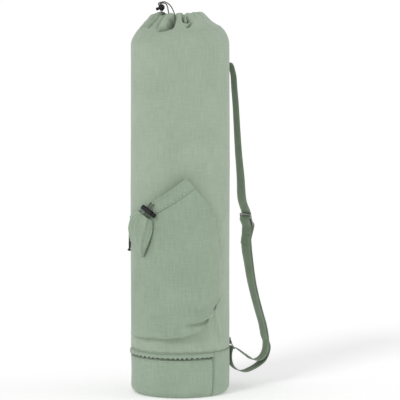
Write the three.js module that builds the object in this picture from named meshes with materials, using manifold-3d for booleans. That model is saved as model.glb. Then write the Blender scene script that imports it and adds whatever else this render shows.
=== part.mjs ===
import * as THREE from 'three';
import { mergeVertices } from 'three/addons/utils/BufferGeometryUtils.js';
import Module from 'manifold-3d';

// A drawstring bag for a rolled yoga mat: a cloth tube gathered at its top, a cinched bottle
// pocket on its front, a zipped wet compartment in its base and one webbing shoulder strap.
// Lengths are millimetres. The base stands on z = 0, the front faces -Y, +X is its right.
// A turn is an angle about the tube's axis in degrees, from the front towards +X, and a
// reach is a distance from that axis.

// Cloth and fits
const clothWall = 1.6;
const clearance = 0.3;
const around = 64;

// Tube and gathered top
const tubeRadius = 90;
const tubeTop = 636;
const topHeight = 57;
const mouthRadius = 9;
const foldDepth = 9;

// Wet compartment in the base
const seamHeight = 82;
const baseRound = 14.5;
const flapHeight = 5.1;
const zipTapeHeight = 6.3;
const zipTapeThickness = 1;
const zipTapeSink = 0.6;
const zipChainHeight = 3.4;
const zipChainThickness = 1.5;
const zipStartTurn = -137;
const zipEndTurn = 42.4;
const zipSliderTurn = -131;
const zipSliderLength = 13;
const zipSliderWidth = 9;
const zipPullLength = 24;
const zipPullWidth = 6;
const zipSliderThickness = 3;

// Bottle pocket
const pocketLift = 28;
const pocketHeight = 294;
const pocketDepth = 19;
const hemWidth = 22;
const hemThickness = 2.6;
const pocketColumns = 20;
const pocketRows = 11;
const hemRows = 3;

// Gathered end of the pocket hem, below its cord lock
const gatherTopHeight = 343;
const gatherLength = 85;
const gatherPleats = 5;
const gatherPleatDepth = 3.4;
const cordRoom = 8.5;

// Shoulder strap and its hardware
const strapWidth = 25;
const strapThickness = 1.5;
const strapStandOff = 94;
const strapTop = 600;
const strapDrop = 53.4;
const strapPatchLength = 33;
const strapPatchBelow = 12;
const strapPatchTurn = 118;
const strapStep = 12;
const longStrapStep = 17;
const strandSlack = 1.1;
const tailLength = 34;
const twistLength = 90;
const mostTwist = 10;
const sliderWidth = 30;
const sliderHeight = 24;
const sliderBar = 3;
const sliderRail = 2;
const sliderThickness = 2.5;
const sliderOut = 0.598;
const sliderCentreHeight = 308;
const sliderTurn = 123.5;
const sliderLean = 15;
const ringWidth = 31;
const ringHeight = 16;
const ringWire = 2.5;
const ringTurn = 108;
const ringTilt = 33;
const ringBarRise = 5.5;
const tabLength = 9.5;

// Cords and cord locks
const cordDiameter = 2.2;
const cordSides = 8;
const slotWidth = 3;
const runningGap = 0.3;
const barrelRadius = 4.5;
const barrelLength = 24;
const barrelBore = 3.2;
const barrelFloor = 2.5;
const barrelPress = 3.5;
const barrelSlotPlace = 14;
const barrelSlotLength = 9.6;
const barrelCap = 4;
const barrelSlope = 30.7;
const barrelTurn = -33;
const barrelHeight = 342;
const ballRadius = 6;
const ballMouth = 4.6;
const ballBore = 3;
const ballFloor = 1.4;
const ballPress = 2.4;
const ballSlotPlace = 7.5;
const ballSlotLength = 5.4;
const ballCap = 3.2;
const topStrandAside = 1.4;
const topKnotBelow = 11.1;
const pocketStrandAside = 2.9;
const knotRadius = 3.4;
const tipRadius = 1.9;
const tipLength = 13.5;

// The gathered top's meridian: how far in from the tube towards the mouth and how far up,
// as shares of those two lengths, and how much of the folds' depth shows there.
const topRows = [
  { inward: 0, up: 0, folds: 0 },
  { inward: 0.01, up: 0.105, folds: 0 },
  { inward: 0.037, up: 0.21, folds: 0.02 },
  { inward: 0.086, up: 0.316, folds: 0.08 },
  { inward: 0.216, up: 0.526, folds: 0.3 },
  { inward: 0.37, up: 0.728, folds: 0.7 },
  { inward: 0.543, up: 0.912, folds: 1 },
  { inward: 0.667, up: 1, folds: 0.9 },
  { inward: 0.802, up: 0.982, folds: 0.5 },
  { inward: 0.926, up: 0.921, folds: 0.25 },
  { inward: 1, up: 0.842, folds: 0.15 },
];

// The folds of the gathered top: their turn, their width in degrees, and their depth as a
// share of the deepest fold.
const topFolds = [
  { turn: -13, width: 7, depth: 1 },
  { turn: -29, width: 13, depth: 0.45 },
  { turn: 11, width: 5.5, depth: 0.75 },
  { turn: 27, width: 8, depth: 0.35 },
  { turn: -57, width: 9, depth: 0.6 },
  { turn: -82, width: 8, depth: 0.5 },
  { turn: 55, width: 8, depth: 0.15 },
  { turn: 84, width: 9, depth: 0.25 },
  { turn: 112, width: 8, depth: 0.5 },
  { turn: 140, width: 9, depth: 0.6 },
  { turn: 168, width: 8, depth: 0.5 },
  { turn: 196, width: 9, depth: 0.65 },
  { turn: 224, width: 8, depth: 0.5 },
  { turn: 251, width: 9, depth: 0.6 },
];

// The pocket's four borders, from the left seam and from the bottom: a turn, and a height
// as a share of the pocket's own.
const pocketBottom = [
  { turn: -78, up: 0 },
  { turn: -59, up: 0 },
  { turn: -35, up: 0 },
  { turn: -17, up: 0 },
  { turn: -5, up: 0.009 },
  { turn: 5, up: 0.025 },
  { turn: 20.7, up: 0.056 },
  { turn: 30.8, up: 0.09 },
  { turn: 42, up: 0.185 },
];
const pocketRight = [
  { turn: 42, up: 0.185 },
  { turn: 50.5, up: 0.27 },
  { turn: 52.4, up: 0.409 },
  { turn: 51.1, up: 0.509 },
  { turn: 46.7, up: 0.57 },
  { turn: 40.8, up: 0.712 },
  { turn: 34.4, up: 0.773 },
  { turn: 29.3, up: 0.834 },
  { turn: 18.2, up: 0.916 },
  { turn: 6.1, up: 1 },
];
const pocketMouth = [
  { turn: -78, up: 0.731 },
  { turn: -60, up: 0.769 },
  { turn: -45, up: 0.803 },
  { turn: -35.7, up: 0.829 },
  { turn: -21.2, up: 0.878 },
  { turn: -8.2, up: 0.932 },
  { turn: 6.1, up: 1 },
];
const pocketLeft = [
  { turn: -78, up: 0 },
  { turn: -78, up: 0.731 },
];

// How far the pocket bulges, as shares of its depth: up its height, and across it low down
// and at its mouth.
const bulgeUp = [
  { at: 0, value: 0 },
  { at: 0.05, value: 0.6 },
  { at: 0.14, value: 0.92 },
  { at: 0.3, value: 1 },
  { at: 0.55, value: 0.85 },
  { at: 0.8, value: 0.62 },
  { at: 1, value: 0.55 },
];
const bulgeAcrossLow = [
  { at: 0, value: 0 },
  { at: 0.12, value: 0.4 },
  { at: 0.3, value: 0.85 },
  { at: 0.5, value: 1 },
  { at: 0.7, value: 0.95 },
  { at: 0.88, value: 0.6 },
  { at: 1, value: 0 },
];
const bulgeAcrossMouth = [
  { at: 0, value: 0 },
  { at: 0.15, value: 0.22 },
  { at: 0.35, value: 0.35 },
  { at: 0.5, value: 0.6 },
  { at: 0.7, value: 1 },
  { at: 0.88, value: 0.85 },
  { at: 1, value: 0.4 },
];

// Broad folds across the pocket: they run between two places, each a share across and a
// share up, with a width as a share too and a height as a share of the pocket's depth.
const pocketFolds = [
  { across: 0.96, up: 0.1, toAcross: 0.35, toUp: 0.2, width: 0.05, rise: -0.16 },
  { across: 0.99, up: 0.03, toAcross: 0.5, toUp: 0.06, width: 0.04, rise: -0.14 },
  { across: 0.62, up: 0.93, toAcross: 0.92, toUp: 0.62, width: 0.05, rise: 0.1 },
  { across: 0.55, up: 0.86, toAcross: 0.5, toUp: 0.45, width: 0.06, rise: -0.12 },
];

// The gathered hem end, from its top down: how far down its left and right edges are as
// shares of its length, their turns, and the room behind it at the left edge, in the middle
// and at the right edge as shares of the cord room.
const gatherRows = [
  { leftDown: 0, rightDown: 0.19, left: -45, right: -27.5, leftRoom: 0.85, room: 1, rightRoom: 0.25 },
  { leftDown: 0.08, rightDown: 0.25, left: -54, right: -26.5, leftRoom: 0.7, room: 0.85, rightRoom: 0.15 },
  { leftDown: 0.22, rightDown: 0.34, left: -64, right: -26.5, leftRoom: 0.45, room: 0.55, rightRoom: 0.1 },
  { leftDown: 0.4, rightDown: 0.47, left: -70, right: -27.5, leftRoom: 0.42, room: 0.45, rightRoom: 0.08 },
  { leftDown: 0.58, rightDown: 0.61, left: -69, right: -29.5, leftRoom: 0.38, room: 0.38, rightRoom: 0.06 },
  { leftDown: 0.76, rightDown: 0.78, left: -62, right: -33, leftRoom: 0.3, room: 0.3, rightRoom: 0.05 },
  { leftDown: 0.9, rightDown: 0.92, left: -53, right: -36.5, leftRoom: 0.15, room: 0.15, rightRoom: 0.04 },
  { leftDown: 1, rightDown: 1, left: -46, right: -39, leftRoom: 0.06, room: 0.06, rightRoom: 0.04 },
];

// The strap's run from its patch to the slider: out from the tube as a share of the
// stand-off, and up as a share of the height from the slider to the strap's top.
const upperRun = [
  { out: 0.017, up: 0.973, turn: 118 },
  { out: 0.043, up: 1, turn: 117 },
  { out: 0.085, up: 1.007, turn: 116 },
  { out: 0.128, up: 0.989, turn: 115 },
  { out: 0.155, up: 0.957, turn: 114.5 },
  { out: 0.181, up: 0.925, turn: 114.5 },
  { out: 0.21, up: 0.844, turn: 115.5 },
  { out: 0.244, up: 0.743, turn: 116 },
  { out: 0.286, up: 0.59, turn: 117 },
  { out: 0.331, up: 0.436, turn: 118 },
  { out: 0.397, up: 0.283, turn: 119.5 },
  { out: 0.464, up: 0.127, turn: 121.5 },
];

// The inner strand's run from the slider to the foot of the strap's hanging loop, with up as
// a share of the height from the seam to the slider.
const innerRun = [
  { out: 0.61, up: 0.882, turn: 124 },
  { out: 0.62, up: 0.791, turn: 123.7 },
  { out: 0.664, up: 0.63, turn: 123 },
  { out: 0.704, up: 0.5, turn: 122 },
  { out: 0.768, up: 0.367, turn: 121 },
  { out: 0.86, up: 0.231, turn: 120.5 },
  { out: 0.928, up: 0.131, turn: 120 },
  { out: 0.968, up: 0.032, turn: 119.5 },
];

// The two strands' separate ways round the foot of the loop to the ring, with up from the
// seam as a share of how far the loop hangs below it.
const innerFoot = [
  { out: 0.973, up: -0.146, turn: 119 },
  { out: 0.941, up: -0.388, turn: 118.5 },
  { out: 0.865, up: -0.563, turn: 118 },
  { out: 0.736, up: -0.65, turn: 117 },
  { out: 0.611, up: -0.611, turn: 116 },
  { out: 0.465, up: -0.456, turn: 113 },
  { out: 0.317, up: -0.281, turn: 110 },
  { out: 0.21, up: -0.146, turn: 108.3 },
];
const outerFoot = [
  { out: 0.062, up: -0.272, turn: 108 },
  { out: 0.065, up: -0.495, turn: 108.5 },
  { out: 0.116, up: -0.728, turn: 110 },
  { out: 0.231, up: -0.902, turn: 112 },
  { out: 0.406, up: -0.999, turn: 114.5 },
  { out: 0.578, up: -0.941, turn: 116 },
  { out: 0.747, up: -0.825, turn: 117 },
  { out: 0.876, up: -0.689, turn: 118 },
  { out: 0.964, up: -0.456, turn: 118.5 },
  { out: 1.001, up: -0.184, turn: 119 },
];

// The strap's way through its slider: outward from its centre as a share of the reach of a
// layer that lies on its face, and up as a share of half its height.
const throughSlider = [
  { out: 1.13, up: 1.292 },
  { out: 1.261, up: 1.042 },
  { out: 1.261, up: 0.825 },
  { out: 0.826, up: 0.633 },
  { out: 0, up: 0.492 },
  { out: -1.13, up: 0.358 },
  { out: -1.783, up: 0.125 },
  { out: -1.783, up: -0.125 },
  { out: -1.435, up: -0.5 },
  { out: -1.13, up: -0.792 },
  { out: -1.043, up: -1.083 },
];
const roundMiddleBar = [
  { out: 1.913, up: -1.083 },
  { out: 1.957, up: -0.767 },
  { out: 1.435, up: -0.458 },
  { out: 1, up: -0.15 },
  { out: 1, up: 0.083 },
  { out: 0.696, up: 0.192 },
  { out: 0, up: 0.225 },
  { out: -0.696, up: 0.192 },
  { out: -1, up: 0.083 },
  { out: -1, up: -0.125 },
  { out: -0.783, up: -0.283 },
  { out: -0.174, up: -0.425 },
  { out: 0.609, up: -0.55 },
  { out: 1.13, up: -0.767 },
  { out: 1.043, up: -1.083 },
];

// Cord routes before and after their locks, as turn, reach and height of chosen points.
const pocketCordStartA = [[-28, 100.5, 354.2], [-28.2, 102, 353.9], [-29.2, 103.4, 351.8]];
const pocketCordEndA = [
  [-36.3, 102.8, 331.4],
  [-42, 99.5, 324.8],
  [-50, 98.3, 316.8],
  [-58, 97.4, 309],
  [-66, 96.5, 300],
  [-72.5, 95.1, 292.5],
  [-75.4, 94.7, 286],
  [-75.5, 94.7, 280.5],
];
const pocketCordStartB = [[-31, 99.9, 357.5], [-31.1, 101.5, 357.2], [-32, 103.2, 355]];
const pocketCordEndB = [
  [-39.4, 102.8, 334.8],
  [-45.2, 99.4, 330.2],
  [-53, 98.1, 324.2],
  [-61, 97.3, 317.6],
  [-69, 96.1, 309.5],
  [-76, 94.9, 301],
  [-80, 94.2, 291],
  [-81.2, 94, 279],
  [-81.3, 94, 267.5],
];
const drawstringStartA = [
  [-8.5, 56.6, 687.5],
  [-10, 51.8, 692.5],
  [-13.8, 45.3, 698.5],
  [-25, 36.4, 707.4],
  [-43.6, 31.8, 713.6],
  [-59, 33.6, 716.2],
];
const drawstringStartB = [
  [-47.3, 28, 695.4],
  [-51.7, 27.4, 701],
  [-58.7, 26.9, 707.6],
  [-68.7, 29, 713],
];

const wasm = await Module();
wasm.setup();

const bag = new THREE.Group();

const cloth = { color: 0x9ead9a, roughness: 0.92, metalness: 0 };
const pocketCloth = { color: 0x95a591, roughness: 0.92, metalness: 0 };
const lowerCloth = { color: 0x8fa08d, roughness: 0.92, metalness: 0 };
const webbing = { color: 0x7d8a75, roughness: 0.8, metalness: 0 };
const zipTeeth = { color: 0x5f6f5c, roughness: 0.5, metalness: 0 };
const cordStuff = { color: 0x55594f, roughness: 0.85, metalness: 0 };
const blackPlastic = { color: 0x15161a, roughness: 0.4, metalness: 0 };
const darkMetal = { color: 0x4a4b4d, roughness: 0.35, metalness: 1 };

function add(name, geometry, look) {
  const mesh = new THREE.Mesh(geometry, new THREE.MeshStandardMaterial(look));
  mesh.name = name;
  bag.add(mesh);
  return mesh;
}

function radians(turn) {
  return turn * Math.PI / 180;
}

function onTube(turn, reach, height) {
  const angle = radians(turn);
  return new THREE.Vector3(reach * Math.sin(angle), -reach * Math.cos(angle), height);
}

function sideways(turn) {
  const angle = radians(turn);
  return new THREE.Vector3(Math.cos(angle), Math.sin(angle), 0);
}

function outwards(turn) {
  return onTube(turn, 1, 0);
}

function mix(from, to, share) {
  return from + (to - from) * share;
}

// Reads a smooth value between the rows of a table with the columns at and value.
function readTable(rows, at) {
  let upper = rows.findIndex((row) => row.at >= at);
  if (upper < 0) return rows[rows.length - 1].value;
  if (upper === 0) return rows[0].value;
  const low = rows[upper - 1];
  const high = rows[upper];
  const share = (at - low.at) / (high.at - low.at);
  return mix(low.value, high.value, share * share * (3 - 2 * share) * 0.5 + share * 0.5);
}

function bump(distance) {
  return Math.exp(-distance * distance);
}

// A solid from two grids of points, its front and its back, joined along their borders.
function thickSheet(front, back, closesRound = false) {
  const rows = front.length;
  const columns = front[0].length;
  const positions = [];
  for (const grid of [front, back]) {
    for (const row of grid) {
      for (const point of row) positions.push(point.x, point.y, point.z);
    }
  }
  const indices = [];
  const at = (side, row, column) => (side * rows + row) * columns + (column % columns);
  const quad = (a, b, c, d) => indices.push(a, b, c, a, c, d);
  const spans = closesRound ? columns : columns - 1;
  for (let row = 0; row < rows - 1; row += 1) {
    for (let column = 0; column < spans; column += 1) {
      quad(at(0, row, column), at(0, row, column + 1), at(0, row + 1, column + 1), at(0, row + 1, column));
      quad(at(1, row, column), at(1, row + 1, column), at(1, row + 1, column + 1), at(1, row, column + 1));
    }
  }
  for (let column = 0; column < spans; column += 1) {
    const last = rows - 1;
    quad(at(1, 0, column), at(1, 0, column + 1), at(0, 0, column + 1), at(0, 0, column));
    quad(at(0, last, column), at(0, last, column + 1), at(1, last, column + 1), at(1, last, column));
  }
  if (!closesRound) {
    const last = columns - 1;
    for (let row = 0; row < rows - 1; row += 1) {
      quad(at(0, row, 0), at(0, row + 1, 0), at(1, row + 1, 0), at(1, row, 0));
      quad(at(1, row, last), at(1, row + 1, last), at(0, row + 1, last), at(0, row, last));
    }
  }
  return faceOutwards(positions, indices);
}

// Turns every face over when the closed surface encloses a negative volume.
function faceOutwards(positions, indices) {
  let volume = 0;
  const corner = (index) => new THREE.Vector3().fromArray(positions, index * 3);
  for (let face = 0; face < indices.length; face += 3) {
    const [a, b, c] = [0, 1, 2].map((step) => corner(indices[face + step]));
    volume += a.dot(b.cross(c));
  }
  if (volume < 0) indices.reverse();
  const geometry = new THREE.BufferGeometry();
  geometry.setAttribute('position', new THREE.Float32BufferAttribute(positions, 3));
  geometry.setIndex(indices);
  geometry.computeVertexNormals();
  return geometry;
}

// A three.js geometry as a solid that can be joined and cut, and back again.
function toSolid(geometry) {
  const bare = geometry.clone();
  bare.deleteAttribute('normal');
  bare.deleteAttribute('uv');
  const merged = mergeVertices(bare, 1e-4);
  return new wasm.Manifold(new wasm.Mesh({
    numProp: 3,
    vertProperties: new Float32Array(merged.attributes.position.array),
    triVerts: new Uint32Array(merged.index.array),
  }));
}

function toGeometry(solid) {
  const mesh = solid.getMesh();
  const geometry = new THREE.BufferGeometry();
  geometry.setAttribute('position', new THREE.BufferAttribute(mesh.vertProperties, 3));
  geometry.setIndex(new THREE.BufferAttribute(mesh.triVerts, 1));
  geometry.computeVertexNormals();
  return geometry;
}

// A flat strip of webbing through stations that each give a centre and a side direction.
function strip(stations, width, thickness) {
  const front = [];
  const back = [];
  stations.forEach((station, index) => {
    const before = stations[Math.max(index - 1, 0)].centre;
    const after = stations[Math.min(index + 1, stations.length - 1)].centre;
    const along = after.clone().sub(before).normalize();
    const normal = along.clone().cross(station.side).normalize();
    const row = (lift) => [-0.5, 0.5].map((share) => station.centre.clone()
      .addScaledVector(station.side, share * width).addScaledVector(normal, lift));
    front.push(row(thickness / 2));
    back.push(row(-thickness / 2));
  });
  return thickSheet(front, back);
}

// A round cord along a smooth curve.
function cordTube(points, diameter, steps) {
  const section = new THREE.Shape();
  for (let side = 0; side < cordSides; side += 1) {
    const angle = 2 * Math.PI * side / cordSides;
    const place = [Math.cos(angle) * diameter / 2, Math.sin(angle) * diameter / 2];
    if (side === 0) section.moveTo(...place);
    else section.lineTo(...place);
  }
  section.closePath();
  const path = new THREE.CatmullRomCurve3(points);
  return new THREE.ExtrudeGeometry(section, { steps, bevelEnabled: false, extrudePath: path });
}

// The gathered top's outer meridian at one row, with the direction that faces out of it.
function meridian(index) {
  const place = (row) => new THREE.Vector2(
    mix(tubeRadius, mouthRadius, row.inward),
    tubeTop + topHeight * row.up,
  );
  const here = place(topRows[index]);
  const before = index === 0
    ? new THREE.Vector2(tubeRadius, seamHeight)
    : place(topRows[index - 1]);
  const after = place(topRows[Math.min(index + 1, topRows.length - 1)]);
  const along = after.sub(before).normalize();
  return { reach: here.x, height: here.y, out: along.y, up: -along.x };
}

function foldAt(turn) {
  return topFolds.reduce((sum, fold) => {
    const apart = ((turn - fold.turn + 540) % 360) - 180;
    return sum + fold.depth * bump(apart / fold.width);
  }, 0);
}

function makeMainBody() {
  const grid = (inset) => {
    const ring = (reach, height, out, up, folds) => Array.from({ length: around }, (unused, step) => {
      const turn = 360 * step / around;
      const sink = inset + foldDepth * folds * foldAt(turn);
      return onTube(turn, reach - out * sink, height - up * sink);
    });
    const rows = [ring(tubeRadius, seamHeight, 1, 0, 0)];
    topRows.forEach((row, index) => {
      const place = meridian(index);
      const level = index === 0 ? { out: 1, up: 0 } : place;
      rows.push(ring(place.reach, place.height, level.out, level.up, row.folds));
    });
    return rows;
  };
  add('main_body', thickSheet(grid(0), grid(clothWall), true), cloth);
}

// A wall of the base between two turns and two heights. From the floor up it starts with
// the rounded edge of the base.
function baseWall(fromTurn, toTurn, low, high, outer, thickness) {
  const steps = Math.round(around * (toTurn - fromTurn) / 360);
  const roundSteps = 3;
  const rows = [];
  if (low === 0) {
    for (let step = 0; step <= roundSteps; step += 1) {
      const angle = Math.PI / 2 * step / roundSteps;
      rows.push({ angle, height: baseRound, round: true });
    }
  } else {
    rows.push({ height: low });
  }
  rows.push({ height: high });
  const grid = (inset) => rows.map((row) => Array.from({ length: steps + 1 }, (unused, step) => {
    const turn = mix(fromTurn, toTurn, step / steps);
    if (!row.round) return onTube(turn, outer - inset, row.height);
    const radius = baseRound - inset;
    const reach = outer - baseRound + radius * Math.sin(row.angle);
    return onTube(turn, reach, baseRound - radius * Math.cos(row.angle));
  }));
  return thickSheet(grid(0), grid(thickness));
}

function disc(radius, low, thickness) {
  const geometry = new THREE.CylinderGeometry(radius, radius, thickness, around);
  geometry.rotateX(Math.PI / 2);
  geometry.translate(0, 0, low + thickness / 2);
  return geometry;
}

// Heights of the zip's pieces, from the seam down.
const flapLow = seamHeight - clearance - flapHeight;
const tapeLow = flapLow - clearance - zipTapeHeight;
const frontTop = tapeLow - clearance;
const chainMiddle = tapeLow + zipTapeHeight / 2;
const tapeOuter = tubeRadius - zipTapeSink;

function makeWetCompartment() {
  const joint = clearance / tubeRadius * 180 / Math.PI;
  const from = zipStartTurn + joint;
  const to = zipEndTurn - joint;
  const high = seamHeight - clearance;
  add('wet_back_panel', baseWall(zipEndTurn, zipStartTurn + 360, 0, high, tubeRadius, clothWall), lowerCloth);
  add('wet_front_panel', baseWall(from, to, 0, frontTop, tubeRadius, clothWall), lowerCloth);
  add('zip_flap', baseWall(from, to, flapLow, high, tubeRadius, clothWall), lowerCloth);
  add('zip_tape', baseWall(from, to, tapeLow, tapeLow + zipTapeHeight, tapeOuter, zipTapeThickness), lowerCloth);
  const chainLow = chainMiddle - zipChainHeight / 2;
  const chainOuter = tapeOuter + clearance + zipChainThickness;
  const chain = baseWall(from, to, chainLow, chainLow + zipChainHeight, chainOuter, zipChainThickness);
  add('zip_chain', chain, zipTeeth);
  add('base_panel', disc(tubeRadius - baseRound - clearance, 0, clothWall), lowerCloth);
  add('divider_panel', disc(tubeRadius - clothWall - clearance, seamHeight - clothWall / 2, clothWall), cloth);
}

// A closed slider at the hidden end of the zip, with its pull hanging down.
function makeZipSlider() {
  const half = zipSliderWidth / 2;
  const top = zipSliderLength / 2;
  const pull = zipPullWidth / 2;
  const shape = new THREE.Shape();
  shape.moveTo(-half, top);
  shape.lineTo(-half * 0.8, -top);
  shape.lineTo(-pull, -top);
  shape.lineTo(-pull, -zipPullLength + pull);
  shape.absarc(0, -zipPullLength + pull, pull, Math.PI, 2 * Math.PI, false);
  shape.lineTo(pull, -top);
  shape.lineTo(half * 0.8, -top);
  shape.lineTo(half, top);
  shape.closePath();
  const geometry = new THREE.ExtrudeGeometry(shape, {
    depth: zipSliderThickness, bevelEnabled: false, curveSegments: 6,
  });
  const back = tapeOuter + zipChainThickness + 2 * clearance;
  placeFlat(add('zip_slider', geometry, zipTeeth), zipSliderTurn, back, chainMiddle);
}

// Sets a flat piece against the tube: its x runs sideways, its y up and its z outwards.
function placeFlat(mesh, turn, reach, height) {
  const up = new THREE.Vector3(0, 0, 1);
  mesh.matrixAutoUpdate = true;
  mesh.quaternion.setFromRotationMatrix(new THREE.Matrix4().makeBasis(sideways(turn), up, outwards(turn)));
  mesh.position.copy(onTube(turn, reach, height));
}

// The pocket's borders are curves on the unrolled tube, x around it and y up it.
function border(rows) {
  const low = seamHeight + pocketLift;
  return new THREE.CatmullRomCurve3(rows.map((row) => new THREE.Vector3(
    radians(row.turn) * tubeRadius,
    low + row.up * pocketHeight,
    0,
  )));
}

const borders = {
  bottom: border(pocketBottom),
  top: border(pocketMouth),
  left: border(pocketLeft),
  right: border(pocketRight),
};

// A place on the unrolled pocket from its shares across and up.
function pocketPlace(across, up) {
  const read = (curve, share) => curve.getPointAt(Math.min(Math.max(share, 0), 1));
  const bottom = read(borders.bottom, across);
  const top = read(borders.top, across);
  const left = read(borders.left, up);
  const right = read(borders.right, up);
  const between = bottom.clone().lerp(top, up);
  const beside = left.clone().lerp(right, across);
  const corners = read(borders.bottom, 0).lerp(read(borders.bottom, 1), across)
    .lerp(read(borders.top, 0).lerp(read(borders.top, 1), across), up);
  return between.add(beside).sub(corners);
}

// How far the pocket's cloth stands off the tube.
function pocketBulge(across, up) {
  const blend = up * up * (3 - 2 * up);
  const spread = mix(readTable(bulgeAcrossLow, across), readTable(bulgeAcrossMouth, across), blend);
  const folds = pocketFolds.reduce((sum, fold) => {
    const run = new THREE.Vector2(fold.toAcross - fold.across, fold.toUp - fold.up);
    const here = new THREE.Vector2(across - fold.across, up - fold.up);
    const share = Math.min(Math.max(here.dot(run) / run.lengthSq(), 0), 1);
    const aside = here.addScaledVector(run, -share).length();
    return sum + fold.rise * bump(aside / fold.width) * Math.sin(Math.PI * mix(0.25, 1, share));
  }, 0);
  const full = readTable(bulgeUp, up) * spread;
  return pocketDepth * (full + folds * Math.min(full * 2, 1));
}

function pocketPoint(across, up, lift) {
  const place = pocketPlace(across, up);
  const reach = tubeRadius + clearance + pocketBulge(across, up) + lift;
  return onTube(place.x / tubeRadius * 180 / Math.PI, reach, place.y);
}

// Where the hem begins, as a share of the pocket's height at one share across.
function hemStart(across) {
  const height = pocketPlace(across, 0).distanceTo(pocketPlace(across, 1));
  return 1 - hemWidth / height;
}

function pocketGrid(rows, rowShare, lift) {
  return Array.from({ length: rows + 1 }, (unusedRow, row) => (
    Array.from({ length: pocketColumns + 1 }, (unusedColumn, column) => {
      const across = column / pocketColumns;
      return pocketPoint(across, rowShare(across, row / rows), lift);
    })
  ));
}

function makePocket() {
  const panelShare = (across, share) => {
    const seam = clearance / pocketHeight;
    return (share ** 1.25) * (hemStart(across) - seam);
  };
  const panel = (lift) => pocketGrid(pocketRows, panelShare, lift);
  add('pocket_panel', thickSheet(panel(clothWall), panel(0)), pocketCloth);
  const hemShare = (across, share) => mix(hemStart(across), 1, share);
  const hem = (lift) => pocketGrid(hemRows, hemShare, lift);
  add('pocket_hem', thickSheet(hem(hemThickness), hem(0)), pocketCloth);
}

// The reach of the pocket's outer face at a turn and height, found by walking towards them.
function pocketReach(turn, height) {
  const wanted = new THREE.Vector2(radians(turn) * tubeRadius, height);
  const step = 0.01;
  let across = 0.5;
  let up = 0.5;
  for (let pass = 0; pass < 25; pass += 1) {
    const here = pocketPlace(across, up);
    const side = pocketPlace(across + step, up).sub(here).divideScalar(step);
    const above = pocketPlace(across, up + step).sub(here).divideScalar(step);
    const [dx, dy] = [wanted.x - here.x, wanted.y - here.y];
    const area = side.x * above.y - side.y * above.x;
    across += 0.7 * (dx * above.y - dy * above.x) / area;
    up += 0.7 * (side.x * dy - side.y * dx) / area;
    across = Math.min(Math.max(across, 0), 0.99);
    up = Math.min(Math.max(up, 0), 0.99);
  }
  const thickness = up > hemStart(across) - 0.02 ? hemThickness : clothWall;
  return tubeRadius + clearance + pocketBulge(across, up) + thickness;
}

function makePocketGather() {
  const columns = gatherPleats * 4;
  const grid = (lift) => gatherRows.map((row) => Array.from({ length: columns + 1 }, (unused, column) => {
    const share = column / columns;
    const turn = mix(row.left, row.right, share);
    const down = mix(row.leftDown, row.rightDown, share);
    const height = gatherTopHeight - down * gatherLength;
    const edge = share < 0.5
      ? mix(row.leftRoom, row.room, Math.sin(Math.PI * share))
      : mix(row.rightRoom, row.room, Math.sin(Math.PI * share));
    const pleat = gatherPleatDepth * (0.5 - 0.5 * Math.cos(2 * Math.PI * gatherPleats * share));
    const shown = 0.45 + 0.55 * Math.sin(Math.PI * Math.min(row.leftDown + 0.15, 1));
    const reach = pocketReach(turn, height) + clearance + cordRoom * edge + pleat * shown;
    return onTube(turn, reach + lift, height);
  }));
  add('pocket_gather', thickSheet(grid(clothWall), grid(0)), pocketCloth);
}

// A station of the strap from its place in the plane that holds the tube's axis.
function station(reach, height, turn) {
  return { reach, height, turn };
}

function strapReach(out) {
  return tubeRadius + out * strapStandOff;
}

function aboveSlider(row) {
  return station(strapReach(row.out), mix(sliderCentreHeight, strapTop, row.up), row.turn);
}

function belowSlider(row) {
  return station(strapReach(row.out), mix(seamHeight, sliderCentreHeight, row.up), row.turn);
}

function belowSeam(row) {
  return station(strapReach(row.out), seamHeight + row.up * strapDrop, row.turn);
}

// A place near the slider, outward and up along its lean.
function sliderPlace(row) {
  const lean = radians(sliderLean);
  const out = row.out * (sliderThickness / 2 + strapThickness / 2 + clearance);
  const up = row.up * sliderHeight / 2;
  return station(
    strapReach(sliderOut) + out * Math.cos(lean) - up * Math.sin(lean),
    sliderCentreHeight + out * Math.sin(lean) + up * Math.cos(lean),
    sliderTurn,
  );
}

// Adds stations between the given ones along a smooth curve.
function smoothRun(stations, spacing) {
  const points = stations.map((one) => new THREE.Vector3(one.reach, one.height, one.turn));
  const curve = new THREE.CatmullRomCurve3(points, false, 'centripetal');
  const count = Math.max(2, Math.round(curve.getLength() / spacing));
  return curve.getSpacedPoints(count).map((point) => station(point.x, point.y, point.z));
}

// The same run moved outwards by one layer of webbing and its slack.
function layerOutside(stations, distance) {
  return stations.map((one, index) => {
    const before = stations[Math.max(index - 1, 0)];
    const after = stations[Math.min(index + 1, stations.length - 1)];
    const along = new THREE.Vector2(after.reach - before.reach, after.height - before.height).normalize();
    return station(one.reach - along.y * distance, one.height + along.x * distance, one.turn);
  });
}

// The ring's two bars in the plane at its turn.
const foldRadius = ringWire / 2 + clearance + strapThickness / 2;
const webbingSeat = tubeRadius + clearance + strapThickness / 2;
const innerBar = { reach: webbingSeat + foldRadius, height: seamHeight + ringBarRise };
const barSpan = ringHeight - ringWire;
const outerBar = {
  reach: innerBar.reach + barSpan * Math.sin(radians(ringTilt)),
  height: innerBar.height - barSpan * Math.cos(radians(ringTilt)),
};

function aroundBar(bar, fromAngle, toAngle, count, turn) {
  return Array.from({ length: count + 1 }, (unused, step) => {
    const angle = radians(mix(fromAngle, toAngle, step / count));
    return station(bar.reach + foldRadius * Math.cos(angle), bar.height + foldRadius * Math.sin(angle), turn);
  });
}

// The strap's twist from the plane of its run, strongest at the slider.
function strapSide(turn, height) {
  const twist = mostTwist * bump((height - sliderCentreHeight) / twistLength);
  return sideways(turn + twist);
}

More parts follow.
